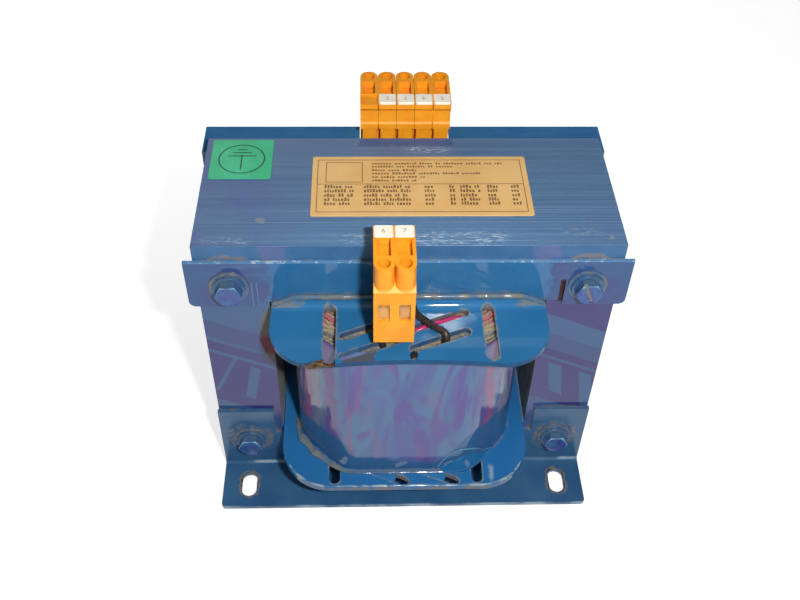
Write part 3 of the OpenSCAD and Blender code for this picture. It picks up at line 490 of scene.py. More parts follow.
def lamination_finish():
    """Sheet edges under thin varnish: slate on top, two-tone legs, dull walls in the window"""
    f = Finish("blue_core_steel")
    line, broad = f.noise(1.0, 2, (0.012, 2.1, 0.012)), f.noise(0.03, 3)
    front, strip = f.ramp(f.facing(1), -0.4, -0.8), f.ramp(f.z, *STRIP_Z)
    sideways, level = (f.ramp(f.facing(axis, True), 0.4, 0.8) for axis in (0, 2))
    top, legs = core_top(f, line, broad), core_front(f, broad, front, strip)
    f.tone = f.mix(f.ramp(line, 0.35, 0.65), (46, 74, 122), (64, 90, 136))
    window = f.ramp(f.far_x, *WINDOW_X)
    f.lay(f.mottled(0.3, 0.35, 0.65, (150, 148, 138), (126, 120, 108), stretch=(1, 1, 0.15)), window)
    f.tone = f.mix(level, f.mix(sideways, legs, f.tone), top)
    f.stain(TAN_DIRT, 0.35)
    # A red and tan crescent on the left leg along the lower flange's edge: a painted reflection and shadow of
    # that edge
    crescent = f.times(f.ramp(f.ragged(f.oval(*CRESCENT_OVAL), 0.05), 1.04, 0.92), front)
    f.lay(f.mix(f.inside(f.ragged(f.z, 1.2), *CRESCENT_RED_Z, 2), (106, 102, 98), (104, 20, 14)), crescent, 0.9)
    # Dark red-brown on the core behind the clamp's right slit: rusted steel, and painted shade in the gap
    slit_back = f.times(f.inside(f.x, *SLIT_BACK[0], 0.3), f.inside(f.z, *SLIT_BACK[1], 0.3), front)
    f.lay((50, 8, 14), slit_back)
    f.lay((170, 180, 190), f.patches(1.1, 0.73, 0.79, 0, 0.5, 2))
    lined = f.maths("MAXIMUM", level, strip)
    satin = f.blend(lined, f.ramp(broad, 0.3, 0.7, 0.06, 0.16), f.ramp(line, 0.3, 0.7, 0.36, 0.5))
    rough = f.maths("MAXIMUM", f.times(window, sideways), f.maths("MAXIMUM", crescent, slit_back))
    bumps = (f.noise(1.0, 2, (0.05, 2.1, 0.05)), 0.006), (f.noise(0.12, 2), 0.04), (f.noise(0.7, 3), 0.012)
    return f.coat(f.blend(rough, satin, 0.7), *bumps, IOR=1.6)


# On the wrap: upright strips with their colour, partly painted reflections, and ramps along x that add up to
# the shore of the blue foot band, which is a painted reflection of the lower flange
WRAP_STRIPS = (
    (-50, -46.8, (88, 90, 96)), (-45.8, -42.4, (152, 84, 112)), (-41.4, -37.8, (124, 126, 142)),
    (-36, -31.5, (106, 66, 128)), (33, 37, (142, 76, 118)), (40.6, 44.2, (130, 130, 142)),
    (45.4, 50, (70, 76, 122)),
)
WRAP_REFLECTION_SHORE = ((-23, -29, 36, 46), (0, -16, 0, 5), (13, 31, 0, 21))


def wrap_finish():
    """Film round the coil under glossy varnish, with violet swirls, rose streaks and pale strips that are
    partly painted reflections, and a deep blue foot band that is a painted reflection of the lower flange
    """
    f = Finish("blue_grey_wrap")
    f.tone = f.mix(f.ramp(f.noise(0.05, 3, (1, 1, 0.4), 1.0), 0.35, 0.65), (78, 114, 154), (80, 92, 150))
    f.lay((90, 72, 142), f.ramp(f.noise(0.055, 1, (1, 1, 0.3), 2.2), 0.47, 0.64, 0, 0.75))
    corner, front = f.ramp(f.far_x, 14, 34), f.ramp(f.y, 0, -20)
    rose = f.ramp(f.noise(0.08, 1, (1, 1, 0.18), 1.4), 0.5, 0.68)
    f.lay((136, 82, 124), rose, f.ramp(corner, 0, 1, 0.35, 1), f.ramp(front, 0, 1, 0.2, 0.7))
    waved = f.maths("ADD", f.x, f.patches(0.12, 0.25, 0.75, -1.8, 1.8, 2, (1, 1, 0.3)))
    for low, high, strip in WRAP_STRIPS:
        f.lay(strip, f.inside(waved, low, high, 0.9), front, 0.7)
    above = f.z
    for rise in WRAP_REFLECTION_SHORE:
        above = f.maths("SUBTRACT", above, f.ramp(f.x, *rise))
    # Deep blue at the foot: a painted reflection of the lower flange
    f.lay((42, 90, 134), f.ramp(f.ragged(above, 0.8), 1, -1, 0, 0.9))
    f.stain(TAN_DIRT, 0.4, 2)
    bumps = (f.noise(0.07, 2, (1, 1, 0.35), 0.8), 0.3), (f.noise(0.6, 3), 0.006)
    return f.coat(f.dulled(0.1, 0.03, 0.1), *bumps, IOR=1.45)


DRIVER_SLOT_Y = (-42, -40.9)


def bolt_finish():
    """Heads under blue varnish: violet faces, upper sides paler with dust and painted light, chamfers with a
    painted highlight, grime in the driver slot and painted shade in the corners
    """
    f = Finish("varnished_bolt")
    cover = f.patches(0.4, 0.3, 0.6, detail=4)
    f.tone = f.mix(cover, (44, 104, 150), (58, 72, 142))
    dusty_and_lit = f.mottled(0.8, 0.35, 0.65, (92, 108, 116), (64, 108, 142))
    # Paler upward faces: dust and painted light
    f.lay(dusty_and_lit, f.ramp(f.facing(2), 0.3, 0.7), 0.85)
    chamfer_highlight = f.inside(f.facing(2), 0.25, 0.85, 0.12), f.inside(f.facing(1), -0.95, -0.25, 0.1)
    # Bright cyan on faces that tilt up and forwards: a painted highlight
    f.lay((128, 200, 216), *chamfer_highlight, 0.85)
    f.lay((136, 126, 110), f.inside(f.y, *DRIVER_SLOT_Y, 0.2), f.ramp(f.facing(1), -0.7, -0.9), 0.8)
    # Near black in the corners: painted shade
    f.stain(DARK_DIRT_AND_SHADE, 0.4, 0.8)
    return f.coat(f.ramp(cover, 0, 1, 0.24, 0.14), (f.noise(0.8, 3), 0.03), Metallic=0.2, IOR=1.6)


def washer_finish(name, base, deep, metal):
    """Washer rings, tan and grey with grime, partly covered by varnish, with painted shade in their corners
    """
    f = Finish(name)
    f.tone = f.mottled(0.5, 0.35, 0.65, base, deep, 4)
    f.lay((56, 96, 138), f.patches(0.12, 0.5, 0.62, 0, 0.6, 2))
    # Near black in the corners: painted shade
    f.stain(DARK_DIRT_AND_SHADE, 0.3, 0.8)
    return f.coat(f.dulled(1.2, 0.22, 0.45), (f.noise(2.0, 3), 0.03), Metallic=metal)


FRONT_LIP_Z = (148.9, 150.3)


def moulded_finish(name, base, deep, dirt_and_shade, glow=0.0, wear_and_highlight=0.0):
    """Satin moulded plastic with fine texture, darker in its corners with grime and painted shade, and a pale
    lip on the front block that is wear and a painted highlight
    """
    f = Finish(name)
    f.tone = f.mottled(0.18, 0.3, 0.7, base, deep)
    # Darker in the corners: grime and painted shade
    f.stain(dirt_and_shade, 0.6, 1.6)
    # Pale lip on the front block: wear and a painted highlight
    f.lay((252, 206, 108), f.inside(f.z, *FRONT_LIP_Z, 0.3), f.ramp(f.y, -55, -60), wear_and_highlight)
    f.set(Subsurface_Weight=glow, Subsurface_Radius=(1.0, 0.4, 0.1), Subsurface_Scale=0.8 * MM)
    return f.coat(f.dulled(0.8, 0.34, 0.5), (f.noise(3, 2), 0.012), IOR=1.45)


def printed_finish(name, base, wear_and_highlight):
    """Printed film label with slight fading and scuffs"""
    f = Finish(name)
    f.tone = f.mottled(0.06, 0.35, 0.7, base, wear_and_highlight, 4)
    f.lay((250, 240, 220), f.patches(1.4, 0.66, 0.74, 0, 0.3, 2))
    return f.coat(f.dulled(0.3, 0.34, 0.5), (f.noise(0.12, 2), 0.06), (f.noise(2, 2), 0.004))


def wire_finish(name, base, deep, dull=(0.25, 0.45)):
    """Edge of a winding layer or a sleeve, with fine ridges"""
    f = Finish(name)
    turns = f.noise(0.9, 3, (1, 1, 2))
    f.tone = f.mix(f.ramp(turns, 0.35, 0.65), base, deep)
    return f.coat(f.ramp(turns, 0.3, 0.7, *dull), (turns, 0.15))


def bead_finish():
    """Varnish with dust that has set in a bead: tan grey with blue patches, bluer at the coil's foot, where
    its upper part is deep blue as a painted reflection of the lower flange
    """
    f = Finish("varnish_bead")
    f.tone = f.mottled(0.3, 0.35, 0.65, (96, 110, 118), (118, 119, 114))
    f.lay((62, 104, 140), f.patches(0.12, 0.48, 0.62, 0, 0.6))
    low = f.ramp(f.z, 60, 50)
    f.lay((52, 90, 130), f.ramp(f.far_x, 36, 22), low, 0.65)
    droop = f.times(f.maths("SUBTRACT", f.far_y, TUBE_Y), FLANGE_DROOP / (FLANGE_Y - TUBE_Y))
    above = f.maths("SUBTRACT", f.maths("ADD", f.z, droop), COIL_LOW.z)
    # Deep blue on the upper part at the foot: a painted reflection of the lower flange, as on the wrap
    f.lay((30, 78, 128), f.ramp(f.ragged(above, 0.5), 1.3, 2.4), low)
    return f.lacquer((0.05, 0.16), 0.15, grain=0.05)


def rim_finish():
    """Thick varnish on the lower flange's free edge: pale blue above, brown below"""
    f = Finish("varnish_rim")
    above = f.mottled(0.35, 0.4, 0.62, (62, 110, 150), (146, 166, 176), stretch=(0.5, 1, 1))
    below = f.mottled(0.3, 0.4, 0.6, (98, 92, 86), (128, 106, 84))
    f.tone = f.mix(f.ramp(f.ragged(f.facing(2), 0.2), 0.1, 0.45), below, above)
    return f.lacquer((0.05, 0.16), 0.1, grain=0.06)


TONGUE_GLINTS = ((17.9, 36.5, 0.9, 3), (26, 44.6, 3.4, 0.9))


def tongue_finish():
    """The former's blue on a tongue of sheet under the wrap, with two pale glints"""
    f = Finish("blue_varnished_tongue")
    f.blotch((34, 100, 152), (44, 112, 164))
    for x, z, half_x, half_z in TONGUE_GLINTS:
        away = f.oval((x, 0, z), (half_x, FAR, half_z))
        f.lay((150, 152, 180), f.ramp(f.ragged(away, 0.2), 1.1, 0.7, 0, 0.8))
    return f.lacquer((0.06, 0.14))


LAMINATION = lamination_finish()
CLAMP_BLUE = clamp_finish()
FOOT_BLUE = foot_finish()
FORMER_BLUE = former_finish()
WRAP = wrap_finish()
BOLT = bolt_finish()
WASHER = washer_finish("zinc_washer", (84, 112, 134), (60, 96, 138), 0.2)
FIBRE = washer_finish("pressed_fibre", (110, 114, 110), (70, 94, 128), 0.0)
BEAD = bead_finish()
RIM = rim_finish()
TONGUE_BLUE = tongue_finish()
ORANGE = moulded_finish("orange_housing", (248, 165, 36), (242, 153, 29), (194, 102, 38), 0.15, 0.4)
TAG_WHITE = moulded_finish("cream_tag", (252, 246, 232), (246, 236, 216), (200, 176, 140))
TIN = moulded_finish("tinned_cage", (212, 160, 94), (186, 144, 92), (90, 70, 60))
SLEEVING = wire_finish("dark_sleeving", (70, 56, 50), (26, 22, 22))
PLATE_TAN = printed_finish("tan_plate", (227, 181, 114), (233, 191, 126))
LABEL_GREEN = printed_finish("green_label", (54, 183, 130), (66, 195, 144))
PRINT_BROWN = printed_finish("brown_print", (126, 94, 58), (140, 106, 66))
PRINT_GREEN = printed_finish("dark_green_print", (14, 58, 42), (22, 70, 52))
INK = printed_finish("grey_ink", (150, 146, 140), (176, 170, 160))
# Pale blue for lines that are painted highlights
PALE_BLUE_HIGHLIGHT = printed_finish("pale_blue_highlight", (88, 140, 176), (72, 120, 166))
ROSE_TAPE = wire_finish("rose_tape", (206, 112, 126), (176, 84, 104))
TAN_PAPER = wire_finish("tan_paper", (176, 160, 128), (140, 128, 106))
GREY_PAPER = wire_finish("grey_paper", (150, 150, 140), (108, 108, 104))
MAGENTA = wire_finish("magenta_strand", (196, 52, 110), (160, 40, 92), (0.08, 0.2))
GRIME = wire_finish("dark_grime", (40, 36, 40), (22, 20, 22))


# Meshes

def show(name, data, **settings):
    made = having(bpy.data.objects.new(name, data), **settings)
    bpy.context.scene.collection.objects.link(made)
    return made


def join_part(piece, node=None):
    """Lets a piece ride on the part, in place of a CAD node where one is named"""
    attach(piece, "root")
    if node:
        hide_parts(node)


def rectangle(low, high):
    """Corners of a level rectangle, anticlockwise"""
    return (low[0], low[1]), (high[0], low[1]), (high[0], high[1]), (low[0], high[1])


def profile(inner, outer, low, high):
    """Corners of a ring's cross-section"""
    return (inner, low), (outer, low), (outer, high), (inner, high)


def strips(loops):
    """Quads between consecutive closed loops of equal length, given as indices"""
    faces = []
    for first, second in zip(loops, loops[1:]):
        count = len(first)
        for k in range(count):
            following = (k + 1) % count
            faces.append((first[k], first[following], second[following], second[k]))
    return faces


class Shell:
    """Closed skins in the making, with points in millimetres"""

    def __init__(self):
        self.points = []
        self.faces = []

    def skin(self, loops, ring=False):
        """Adds a skin over loops of points, closed as a ring or capped at both ends"""
        if ring:
            loops = loops + loops[:1]
        rings = []
        for loop in loops:
            rings.append(range(len(self.points), len(self.points) + len(loop)))
            self.points.extend(loop)
        self.faces.extend(strips(rings))
        if not ring:
            self.faces.extend((tuple(rings[0]), tuple(rings[-1])))

    def box(self, low, high):
        self.skin([[(*corner, z) for corner in rectangle(low, high)] for z in (low[2], high[2])])

    def piece(self, name, material, slot, smooth=False, node=None):
        """Makes a piece with every face turned outwards"""
        mesh = bpy.data.meshes.new(name)
        mesh.from_pydata([Vector(point) * MM for point in self.points], [], self.faces)
        mesh.validate()
        mesh.materials.append(material)
        for polygon in mesh.polygons:
            polygon.use_smooth = smooth
        turned = bmesh.new()
        turned.from_mesh(mesh)
        bmesh.ops.recalc_face_normals(turned, faces=turned.faces)
        turned.to_mesh(mesh)
        turned.free()
        join_part(show(name, mesh), node)


def skin_piece(name, loops, material, slot, smooth=True, node=None, ring=False):
    shell = Shell()
    shell.skin(loops, ring)
    shell.piece(name, material, slot, smooth, node)


def tube_piece(name, path, radii, material, slot, node=None, sides=12):
    """Makes a round tube along a path, with a radius for each point of it"""
    turns = [2 * pi * j / sides for j in range(sides)]
    loops = []
    across = None
    for k, point in enumerate(path):
        ahead = (path[min(k + 1, len(path) - 1)] - path[max(k - 1, 0)]).normalized()
        across = ahead.orthogonal() if across is None else across - ahead * across.dot(ahead)
        across.normalize()
        other = ahead.cross(across)
        spokes = [cos(turn) * across + sin(turn) * other for turn in turns]
        loops.append([point + radii[k] * spoke for spoke in spokes])
    skin_piece(name, loops, material, slot, node=node)


def smooth_path(points, steps):
    """A curve through points"""
    ends = [Vector(point) for point in (points[0], *points, points[-1])]
    path = []
    for before, start, end, after in zip(ends, ends[1:], ends[2:], ends[3:]):
        for k in range(steps):
            t = k / steps
            bend = (2 * before - 5 * start + 4 * end - after) * t ** 2
            twist = (3 * start - before - 3 * end + after) * t ** 3
            path.append((2 * start + (end - before) * t + bend + twist) / 2)
    path.append(ends[-1])
    return path


def rounded_loop(low, high, radius, z, corner_points=6):
    """Points round a level rectangle with round corners, anticlockwise"""
    loop = []
    for quarter in range(4):
        side_x = high[0] - radius if quarter in (0, 3) else low[0] + radius
        side_y = high[1] - radius if quarter in (0, 1) else low[1] + radius
        for k in range(corner_points + 1):
            turn = radians(90 * (quarter + k / corner_points))
            loop.append((side_x + radius * cos(turn), side_y + radius * sin(turn), z))
    return loop


def circle(x, y, radius, points):
    """Points round a circle, clockwise, as a hole in an outline"""
    turns = [-2 * pi * k / points for k in range(points)]
    return [(x + radius * cos(turn), y + radius * sin(turn)) for turn in turns]


# Core laminations

def inset(outline, amount):
    """Moves the edges of an anticlockwise outline with square corners inwards"""
    moved = []
    count = len(outline)
    for k, point in enumerate(outline):
        before = Vector(point) - Vector(outline[k - 1])
        after = Vector(outline[(k + 1) % count]) - Vector(point)
        shift = Vector((-before.y, before.x)).normalized() + Vector((-after.y, after.x)).normalized()
        moved.append((point[0] + shift.x * amount, point[1] + shift.y * amount))
    return moved


def e_outline():
    """An E standing on its back, from the lower right corner"""
    half, tip, window, leg = CORE_W / 2, CORE_H - LIMB, CORE_W / 2 - LIMB, CENTRE_LEG / 2
    right = [(half, 0), (half, tip), (window, tip), (window, LIMB), (leg, LIMB), (leg, tip)]
    return right + [(-x, z) for x, z in reversed(right)]


def i_outline():
    """The I that closes the E"""
    half, tip = CORE_W / 2, CORE_H - LIMB
    return [(half, tip), (half, CORE_H), (-half, CORE_H), (-half, tip)]


def sheet_stack(name, node, outline, bolt_z):
    """Sheets that differ slightly in size, each with a burr along its front edge"""
    pitch = (CORE_HIGH.y - CORE_LOW.y) / SHEETS
    holes = [circle(side * BOLT_X, bolt_z, CORE_HOLE_R, HOLE_POINTS) for side in (-1, 1)]
    outlines = [outline] + holes
    cap = tessellate_polygon([[Vector((x, z, 0)) for x, z in loop] for loop in outlines])
    stack = Shell()
    for sheet in range(SHEETS):
        upside_down = (sheet * PACKETS // SHEETS) % 2
        trim = random.uniform(0, SHEET_RAGGED)
        burr = random.choice(BURR_SHARES) * SHEET_BURR
        front = CORE_LOW.y + sheet * pitch
        starts = []
        for y, amount in ((front, trim + burr), (front + burr, trim), (front + pitch - SHEET_GAP, trim)):
            starts.append(len(stack.points))
            for loop in [inset(outline, amount)] + holes:
                for x, z in loop:
                    stack.points.append((x, y, CORE_LOW.z + (CORE_H - z if upside_down else z)))
        offset = 0
        for loop in outlines:
            stack.faces.extend(strips([[start + offset + k for k in range(len(loop))] for start in starts]))
            offset += len(loop)
        for start in (starts[0], starts[-1]):
            stack.faces.extend([tuple(start + k for k in triangle) for triangle in cap])
    stack.piece(name, LAMINATION, "lamination_steel", node=node)


# Coil: half sizes, corner radius, the sum of x and y that flattens each layer's corners, and how softly
TUBE_LAYER = (31.3, TUBE_Y, 2, 67.68, 0.01)
PRIMARY_LAYER = (39.3, 48.55, 10, 81.99, 0.01)
PAPER_LAYER = (40.1, 49.35, 10.8, 83.12, 0.01)
SECONDARY_LAYER = (48.5, 61.75, 26.2, 91.07, 1.6)
WRAP_LAYER = (49.3, 62.55, 27, 92.2, 1.6)
PRIMARY_RINGS = 8
SECONDARY_RINGS = 7
RING_POINTS = 96
RING_SPAN = (0.08, 0.84)
RING_BELOW = (0.1, 1.6)
RING_ABOVE = (0.4, 4)
WRAP_POINTS = 360
WRAP_ROWS = 48
WRAP_WAVE = 0.5
WRAP_WAVES = ((0.36, 0.06, 0.02, 0), (0.14, 0.13, 0.03, 9))


def reach(angle, half_x, half_y, corner, limit, soft):
    """Distance from the coil's axis to a layer's outline"""
    across, along = abs(cos(angle)), abs(sin(angle))
    centre_x, centre_y = half_x - corner, half_y - corner
    if half_x * along <= centre_y * across:
        far = half_x / across
    elif half_y * across <= centre_x * along:
        far = half_y / along
    else:
        middle = across * centre_x + along * centre_y
        far = middle + sqrt(max(middle ** 2 - centre_x ** 2 - centre_y ** 2 + corner ** 2, 0))
    cut = limit / (across + along)
    return min(far, cut) - soft * log(1 + exp(-abs(far - cut) / soft))


def on_layer(angle, layer, outwards=0.0):
    far = reach(angle, *layer) + outwards
    return far * cos(angle), far * sin(angle)


def layer_loop(layer, z, count=RING_POINTS):
    angles = [2 * pi * k / count for k in range(count)]
    return [(*on_layer(angle, layer), z) for angle in angles]


def between(first, second, share):
    return tuple(a + (b - a) * share for a, b in zip(first, second))


def layered(name, node, inside, outside, layers, finishes):
    """A winding as rings of different heights, with dark gaps between them"""
    low, high = box_mm(node)
    groups = {}
    for k in range(layers):
        shell = groups.setdefault(finishes[k % len(finishes)].name, Shell())
        inner, outer = (between(inside, outside, (k + share) / layers) for share in RING_SPAN)
        bottom, top = low.z + random.uniform(*RING_BELOW), high.z - random.uniform(*RING_ABOVE)
        sides = (outer, bottom), (outer, top), (inner, top), (inner, bottom)
        shell.skin([layer_loop(*side) for side in sides], True)
    for finish, shell in groups.items():
        shell.piece(f"{name}_{finish}", bpy.data.materials[finish], "copper_wire", node=node)


def flange_floor(y):
    """Height of the lower flange, which droops towards its free edges"""
    share = (abs(y) - TUBE_Y) / (FLANGE_Y - TUBE_Y)
    return COIL_LOW.z - FLANGE_DROOP * min(max(share, 0), 1)


def make_wrap():
    """The film sinks in slightly between the turns under it"""
    angles = [2 * pi * k / WRAP_POINTS for k in range(WRAP_POINTS)]
    loops = []
    for row in range(WRAP_ROWS + 1):
        loop = []
        for angle in angles:
            x, y = on_layer(angle, WRAP_LAYER)
            foot = flange_floor(y)
            z = foot + (COIL_HIGH.z - foot) * row / WRAP_ROWS
            sink = 0.5
            for share, per_mm, per_mm_up, shift in WRAP_WAVES:
                sink += share * noise.noise(Vector((x * per_mm, y * per_mm, z * per_mm_up + shift)))
            loop.append((*on_layer(angle, WRAP_LAYER, -WRAP_WAVE * sink), z))
        loops.append(loop)
    for z in (COIL_HIGH.z, COIL_LOW.z):
        loops.append(layer_loop(SECONDARY_LAYER, z, WRAP_POINTS))
    skin_piece("coil_wrap", loops, WRAP, "varnished_wrap", node="outer_wrap", ring=True)


# Varnish at the wrap's foot: a fillet, a tongue of sheet against the wrap, and films in two slots.
# A shape lists shares of the way with the rise and the spread there
FOOT_FILLET = {
    "angles": (212, 286), "steps": 120, "uneven": 0.3,
    "shape": ((0, 2.4, 1.6), (0.2, 4.6, 3.2), (0.35, 3.4, 2.6), (0.5, 1.8, 1.3), (1, 1.2, 1.1)),
}
TONGUE = {
    "angles": (283, 308), "steps": 60, "uneven": 0,
    "shape": ((0, 0, 0.6), (0.1, 6.5, 0.8), (0.2, 10.8, 1), (0.36, 13.5, 1.2), (0.6, 10.4, 1.2),
              (0.8, 4, 1), (1, 0, 0.5)),
}
TONGUE_EDGE_R = 0.28
SHAPE_STEPS = 6
APRON_ARC = 8
APRON_PROBE = 0.01
APRON_WAVES = 17
SLOT_FILM_SPANS = ((-13.4, 7.2), (-13.4, 7))
SLOT_FILM_DROP = (1.6, 0.5)


def shape_at(shape, share):
    """Rise and spread at a share of the way, from a table"""
    rows = smooth_path(shape, SHAPE_STEPS)
    for first, second in zip(rows, rows[1:]):
        if share <= second[0]:
            return between(first[1:], second[1:], (share - first[0]) / (second[0] - first[0]))


def sweep(angles, steps, shape):
    """Shares of the way between two angles, with angle, rise and spread there"""
    for k in range(steps + 1):
        share = k / steps
        yield share, radians(angles[0] + (angles[1] - angles[0]) * share), *shape_at(shape, share)


def apron(name, material, angles, steps, shape, uneven):
    """Hollow fillet between the wrap's foot and the lower flange"""
    loops = []
    for share, angle, rise, spread in sweep(angles, steps, shape):
        probes = [angle, angle - APRON_PROBE, angle + APRON_PROBE]
        wall, before, after = (Vector(on_layer(probe, WRAP_LAYER)) for probe in probes)
        ahead = after - before
        outwards = Vector((ahead.y, -ahead.x)).normalized()
        waver = 1 + uneven * noise.noise(Vector((share * APRON_WAVES, 2, 5)))
        top = COIL_LOW.z + rise * waver
        loop = []
        for j in range(APRON_ARC + 1):
            turn = radians(90 * j / APRON_ARC)
            place = wall + outwards * (spread * waver * (1 - sin(turn)) - WRAP_WAVE * j / APRON_ARC)
            foot = flange_floor(place.y)
            loop.append((*place, foot + (top - foot) * (1 - cos(turn))))
        inner = wall - outwards
        loop.append((*inner, top))
        loop.append((*inner, flange_floor(inner.y)))
        loops.append(loop)
    skin_piece(name, loops, material, "varnished_wrap")


def make_foot_varnish():
    apron("foot_fillet", BEAD, **FOOT_FILLET)
    apron("foot_tongue", TONGUE_BLUE, **TONGUE)
    path = []
    for _, angle, rise, _ in sweep(TONGUE["angles"], TONGUE["steps"], TONGUE["shape"]):
        path.append(Vector((*on_layer(angle, WRAP_LAYER), COIL_LOW.z + rise)))
    # A pale tube along the tongue's top edge: a painted highlight
    tube_piece("foot_tongue_edge", path, [TONGUE_EDGE_R] * len(path), PALE_BLUE_HIGHLIGHT, "varnished_wrap", sides=8)
    turn, half = radians(LOWER_SLOT["turn"]), LOWER_SLOT["width"] / 2
    along, side = Vector((cos(turn), sin(turn))), Vector((-sin(turn), cos(turn)))
    films = Shell()
    for middle, (start, end) in zip(LOWER_SLOT_AT, SLOT_FILM_SPANS):
        corners = [Vector(middle) + along * u + side * v for u, v in rectangle((start, -half), (end, half))]
        films.skin([[(*place, flange_floor(place.y) - drop) for place in corners] for drop in SLOT_FILM_DROP])
    films.piece("lower_slot_films", TONGUE_BLUE, "varnished_plastic")


# Varnish that has set in beads and films, and a lump of dirt on the upper flange
BEAD_WAVES = 0.2
RIB_BEAD_R = 1.2
RIB_BEAD_STEPS = 90
RIB_BEAD_REACH = 0.995
RIB_BEAD_UNEVEN = 0.3
RIM_BEAD_R = 0.8
RIM_CORNER = 22.5
RIM_BEAD_TURN = 75
RIM_BEAD_STEPS = 24
RIM_BEAD_TAPER = 12
RIM_BEAD_UNEVEN = 0.25
SLIT_X = -63.4
SLIT_HALF_W = 1.05
SLIT_LINE = 0.3
SLIT_LINE_OUT = 0.05
SLIT_Z = (113.2, 127)
SLIT_FILM_Y = (-36.5, -35.3)
LUMP_AT = (1.1, -66.1)
LUMP_HALF = (1.6, 2.4, 0.9)
LUMP_STEPS = 10
LUMP_CLIMB = 88
LUMP_UNEVEN = 0.25
LUMP_SUNK = 0.1


def make_rib_beads():
    for name, side in (("front_rib_bead", -1), ("rear_rib_bead", 1)):
        path, radii = [], []
        for k in range(RIB_BEAD_STEPS + 1):
            x = FLANGE_X * (2 * k / RIB_BEAD_STEPS - 1) * RIB_BEAD_REACH
            fade = max(0, (abs(x) - FLANGE_X + RIB_FADE) / RIB_FADE)
            height = RIB_END_H + (RIB_H - RIB_END_H) * (1 + cos(pi * min(fade, 1))) / 2
            path.append(Vector((x, side * RIB_Y, FLANGE_TOP + height)))
            radii.append(RIB_BEAD_R * (1 + RIB_BEAD_UNEVEN * noise.noise(Vector((x * BEAD_WAVES, side, 4)))))
        tube_piece(name, path, radii, BEAD, "varnished_plastic")


def make_rim_bead():
    """Runs round the front of the lower flange, along its free edge"""
    centre_x, centre_y, bend = FLANGE_X - RIM_CORNER, FLANGE_Y - RIM_CORNER, RIM_CORNER - RIM_BEAD_R
    path = []
    for side, steps in ((-1, range(RIM_BEAD_STEPS + 1)), (1, range(RIM_BEAD_STEPS, -1, -1))):
        for k in steps:
            turn = radians(RIM_BEAD_TURN * (1 - k / RIM_BEAD_STEPS))
            place = Vector((side * (centre_x + bend * sin(turn)), -centre_y - bend * cos(turn), 0))
            place.z = flange_floor(place.y) - RIM_BEAD_R / 2
            path.append(place)
    radii = []
    for k, place in enumerate(path):
        thin = min(1, (min(k, len(path) - 1 - k) + 2) / RIM_BEAD_TAPER)
        radii.append(RIM_BEAD_R * thin * (1 + RIM_BEAD_UNEVEN * noise.noise(place * BEAD_WAVES)))
    tube_piece("lower_rim_bead", path, radii, RIM, "varnished_plastic")


def make_slit_film():
    """A film in the clamp's left slit, with two pale lines along its edges that are painted highlights"""
    edges = (SLIT_X - SLIT_HALF_W, SLIT_X + SLIT_HALF_W)
    film, lines = Shell(), Shell()
    film.box((edges[0], SLIT_FILM_Y[0], SLIT_Z[0]), (edges[1], SLIT_FILM_Y[1], SLIT_Z[1]))
    film.piece("left_slit_film", CLAMP_BLUE, "varnished_steel")
    for x in edges:
        low = (x - SLIT_LINE / 2, CLAMP_FRONT - SLIT_LINE_OUT, SLIT_Z[0])
        lines.box(low, (x + SLIT_LINE / 2, SLIT_FILM_Y[1], SLIT_Z[1]))
    lines.piece("left_slit_edges", PALE_BLUE_HIGHLIGHT, "varnished_steel")


def make_lump():
    loops = []
    for k in range(LUMP_STEPS):
        climb = radians(LUMP_CLIMB * k / LUMP_STEPS)
        lift, size = sin(climb), cos(climb)
        loop = []
        for j in range(2 * LUMP_STEPS):
            across, along = cos(pi * j / LUMP_STEPS), sin(pi * j / LUMP_STEPS)
            rough = size * (1 + LUMP_UNEVEN * noise.noise(Vector((across * 2, along * 2, lift))))
            x, y = LUMP_AT[0] + LUMP_HALF[0] * rough * across, LUMP_AT[1] + LUMP_HALF[1] * rough * along
            loop.append((x, y, FLANGE_TOP - LUMP_SUNK + LUMP_HALF[2] * lift))
        loops.append(loop)
    skin_piece("flange_lump", loops, GRIME, "varnished_plastic")


# Leads: the route of the sleeved one, in millimetres from the core's front face and the flange's top
LEAD_ROUTE = (
    (14.6, 21.7, -2.5), (14.6, 21.7, -1), (14.5, 21.5, 0.5), (14.1, 20.7, 1.5), (13.2, 19.6, 1.8),
    (9.2, 16.5, 1.7), (5.2, 12.6, 1.7), (2.6, 9.4, 1.9), (1.2, 6.2, 3.4), (-1.4, 4.8, 7.1),
    (-2.6, 4.2, 11.1), (-3, 4.4, 14.2), (-3, 5.4, 16), (-3, 6.6, 16.6), (-3, 7.7, 16.6),
)
LEAD_R = 1.5
LEAD_STEPS = 6
LEAD_SIDES = 16
SHORT_LEAD = ((-11.08, -59.93, 112.4), (-11.08, -59.93, 120.5))
SHORT_LEAD_R = 1.2
STRAND = ((2.2, -51.3, 112.6), (5, -50.2, 113.4), (9, -48.5, 113.7), (15, -46.1, 113.4), (21.5, -43.4, 112.4))
STRAND_R = 1.15


def make_leads():
    sleeve = [(x, CORE_LOW.y - y, FLANGE_TOP + z) for x, y, z in LEAD_ROUTE]
    leads = (
        ("sleeved_lead", sleeve, LEAD_R, SLEEVING, "lead_sleeve", "front_leads"),
        ("short_lead", SHORT_LEAD, SHORT_LEAD_R, SLEEVING, "lead_sleeve", "front_leads"),
        ("slot_strand", STRAND, STRAND_R, MAGENTA, "copper_wire", None),
    )
    for name, route, radius, *rest in leads:
        path = smooth_path(route, LEAD_STEPS)
        tube_piece(name, path, [radius] * len(path), *rest, LEAD_SIDES)


# Tags, with plain numbers
TAG_W = 7.45
TAG_CORNER = 0.9
TAG_EDGE = 0.3
TAG_SHY = 0.05
DIGIT_SIZE = 3.2
DIGIT_T = 0.015


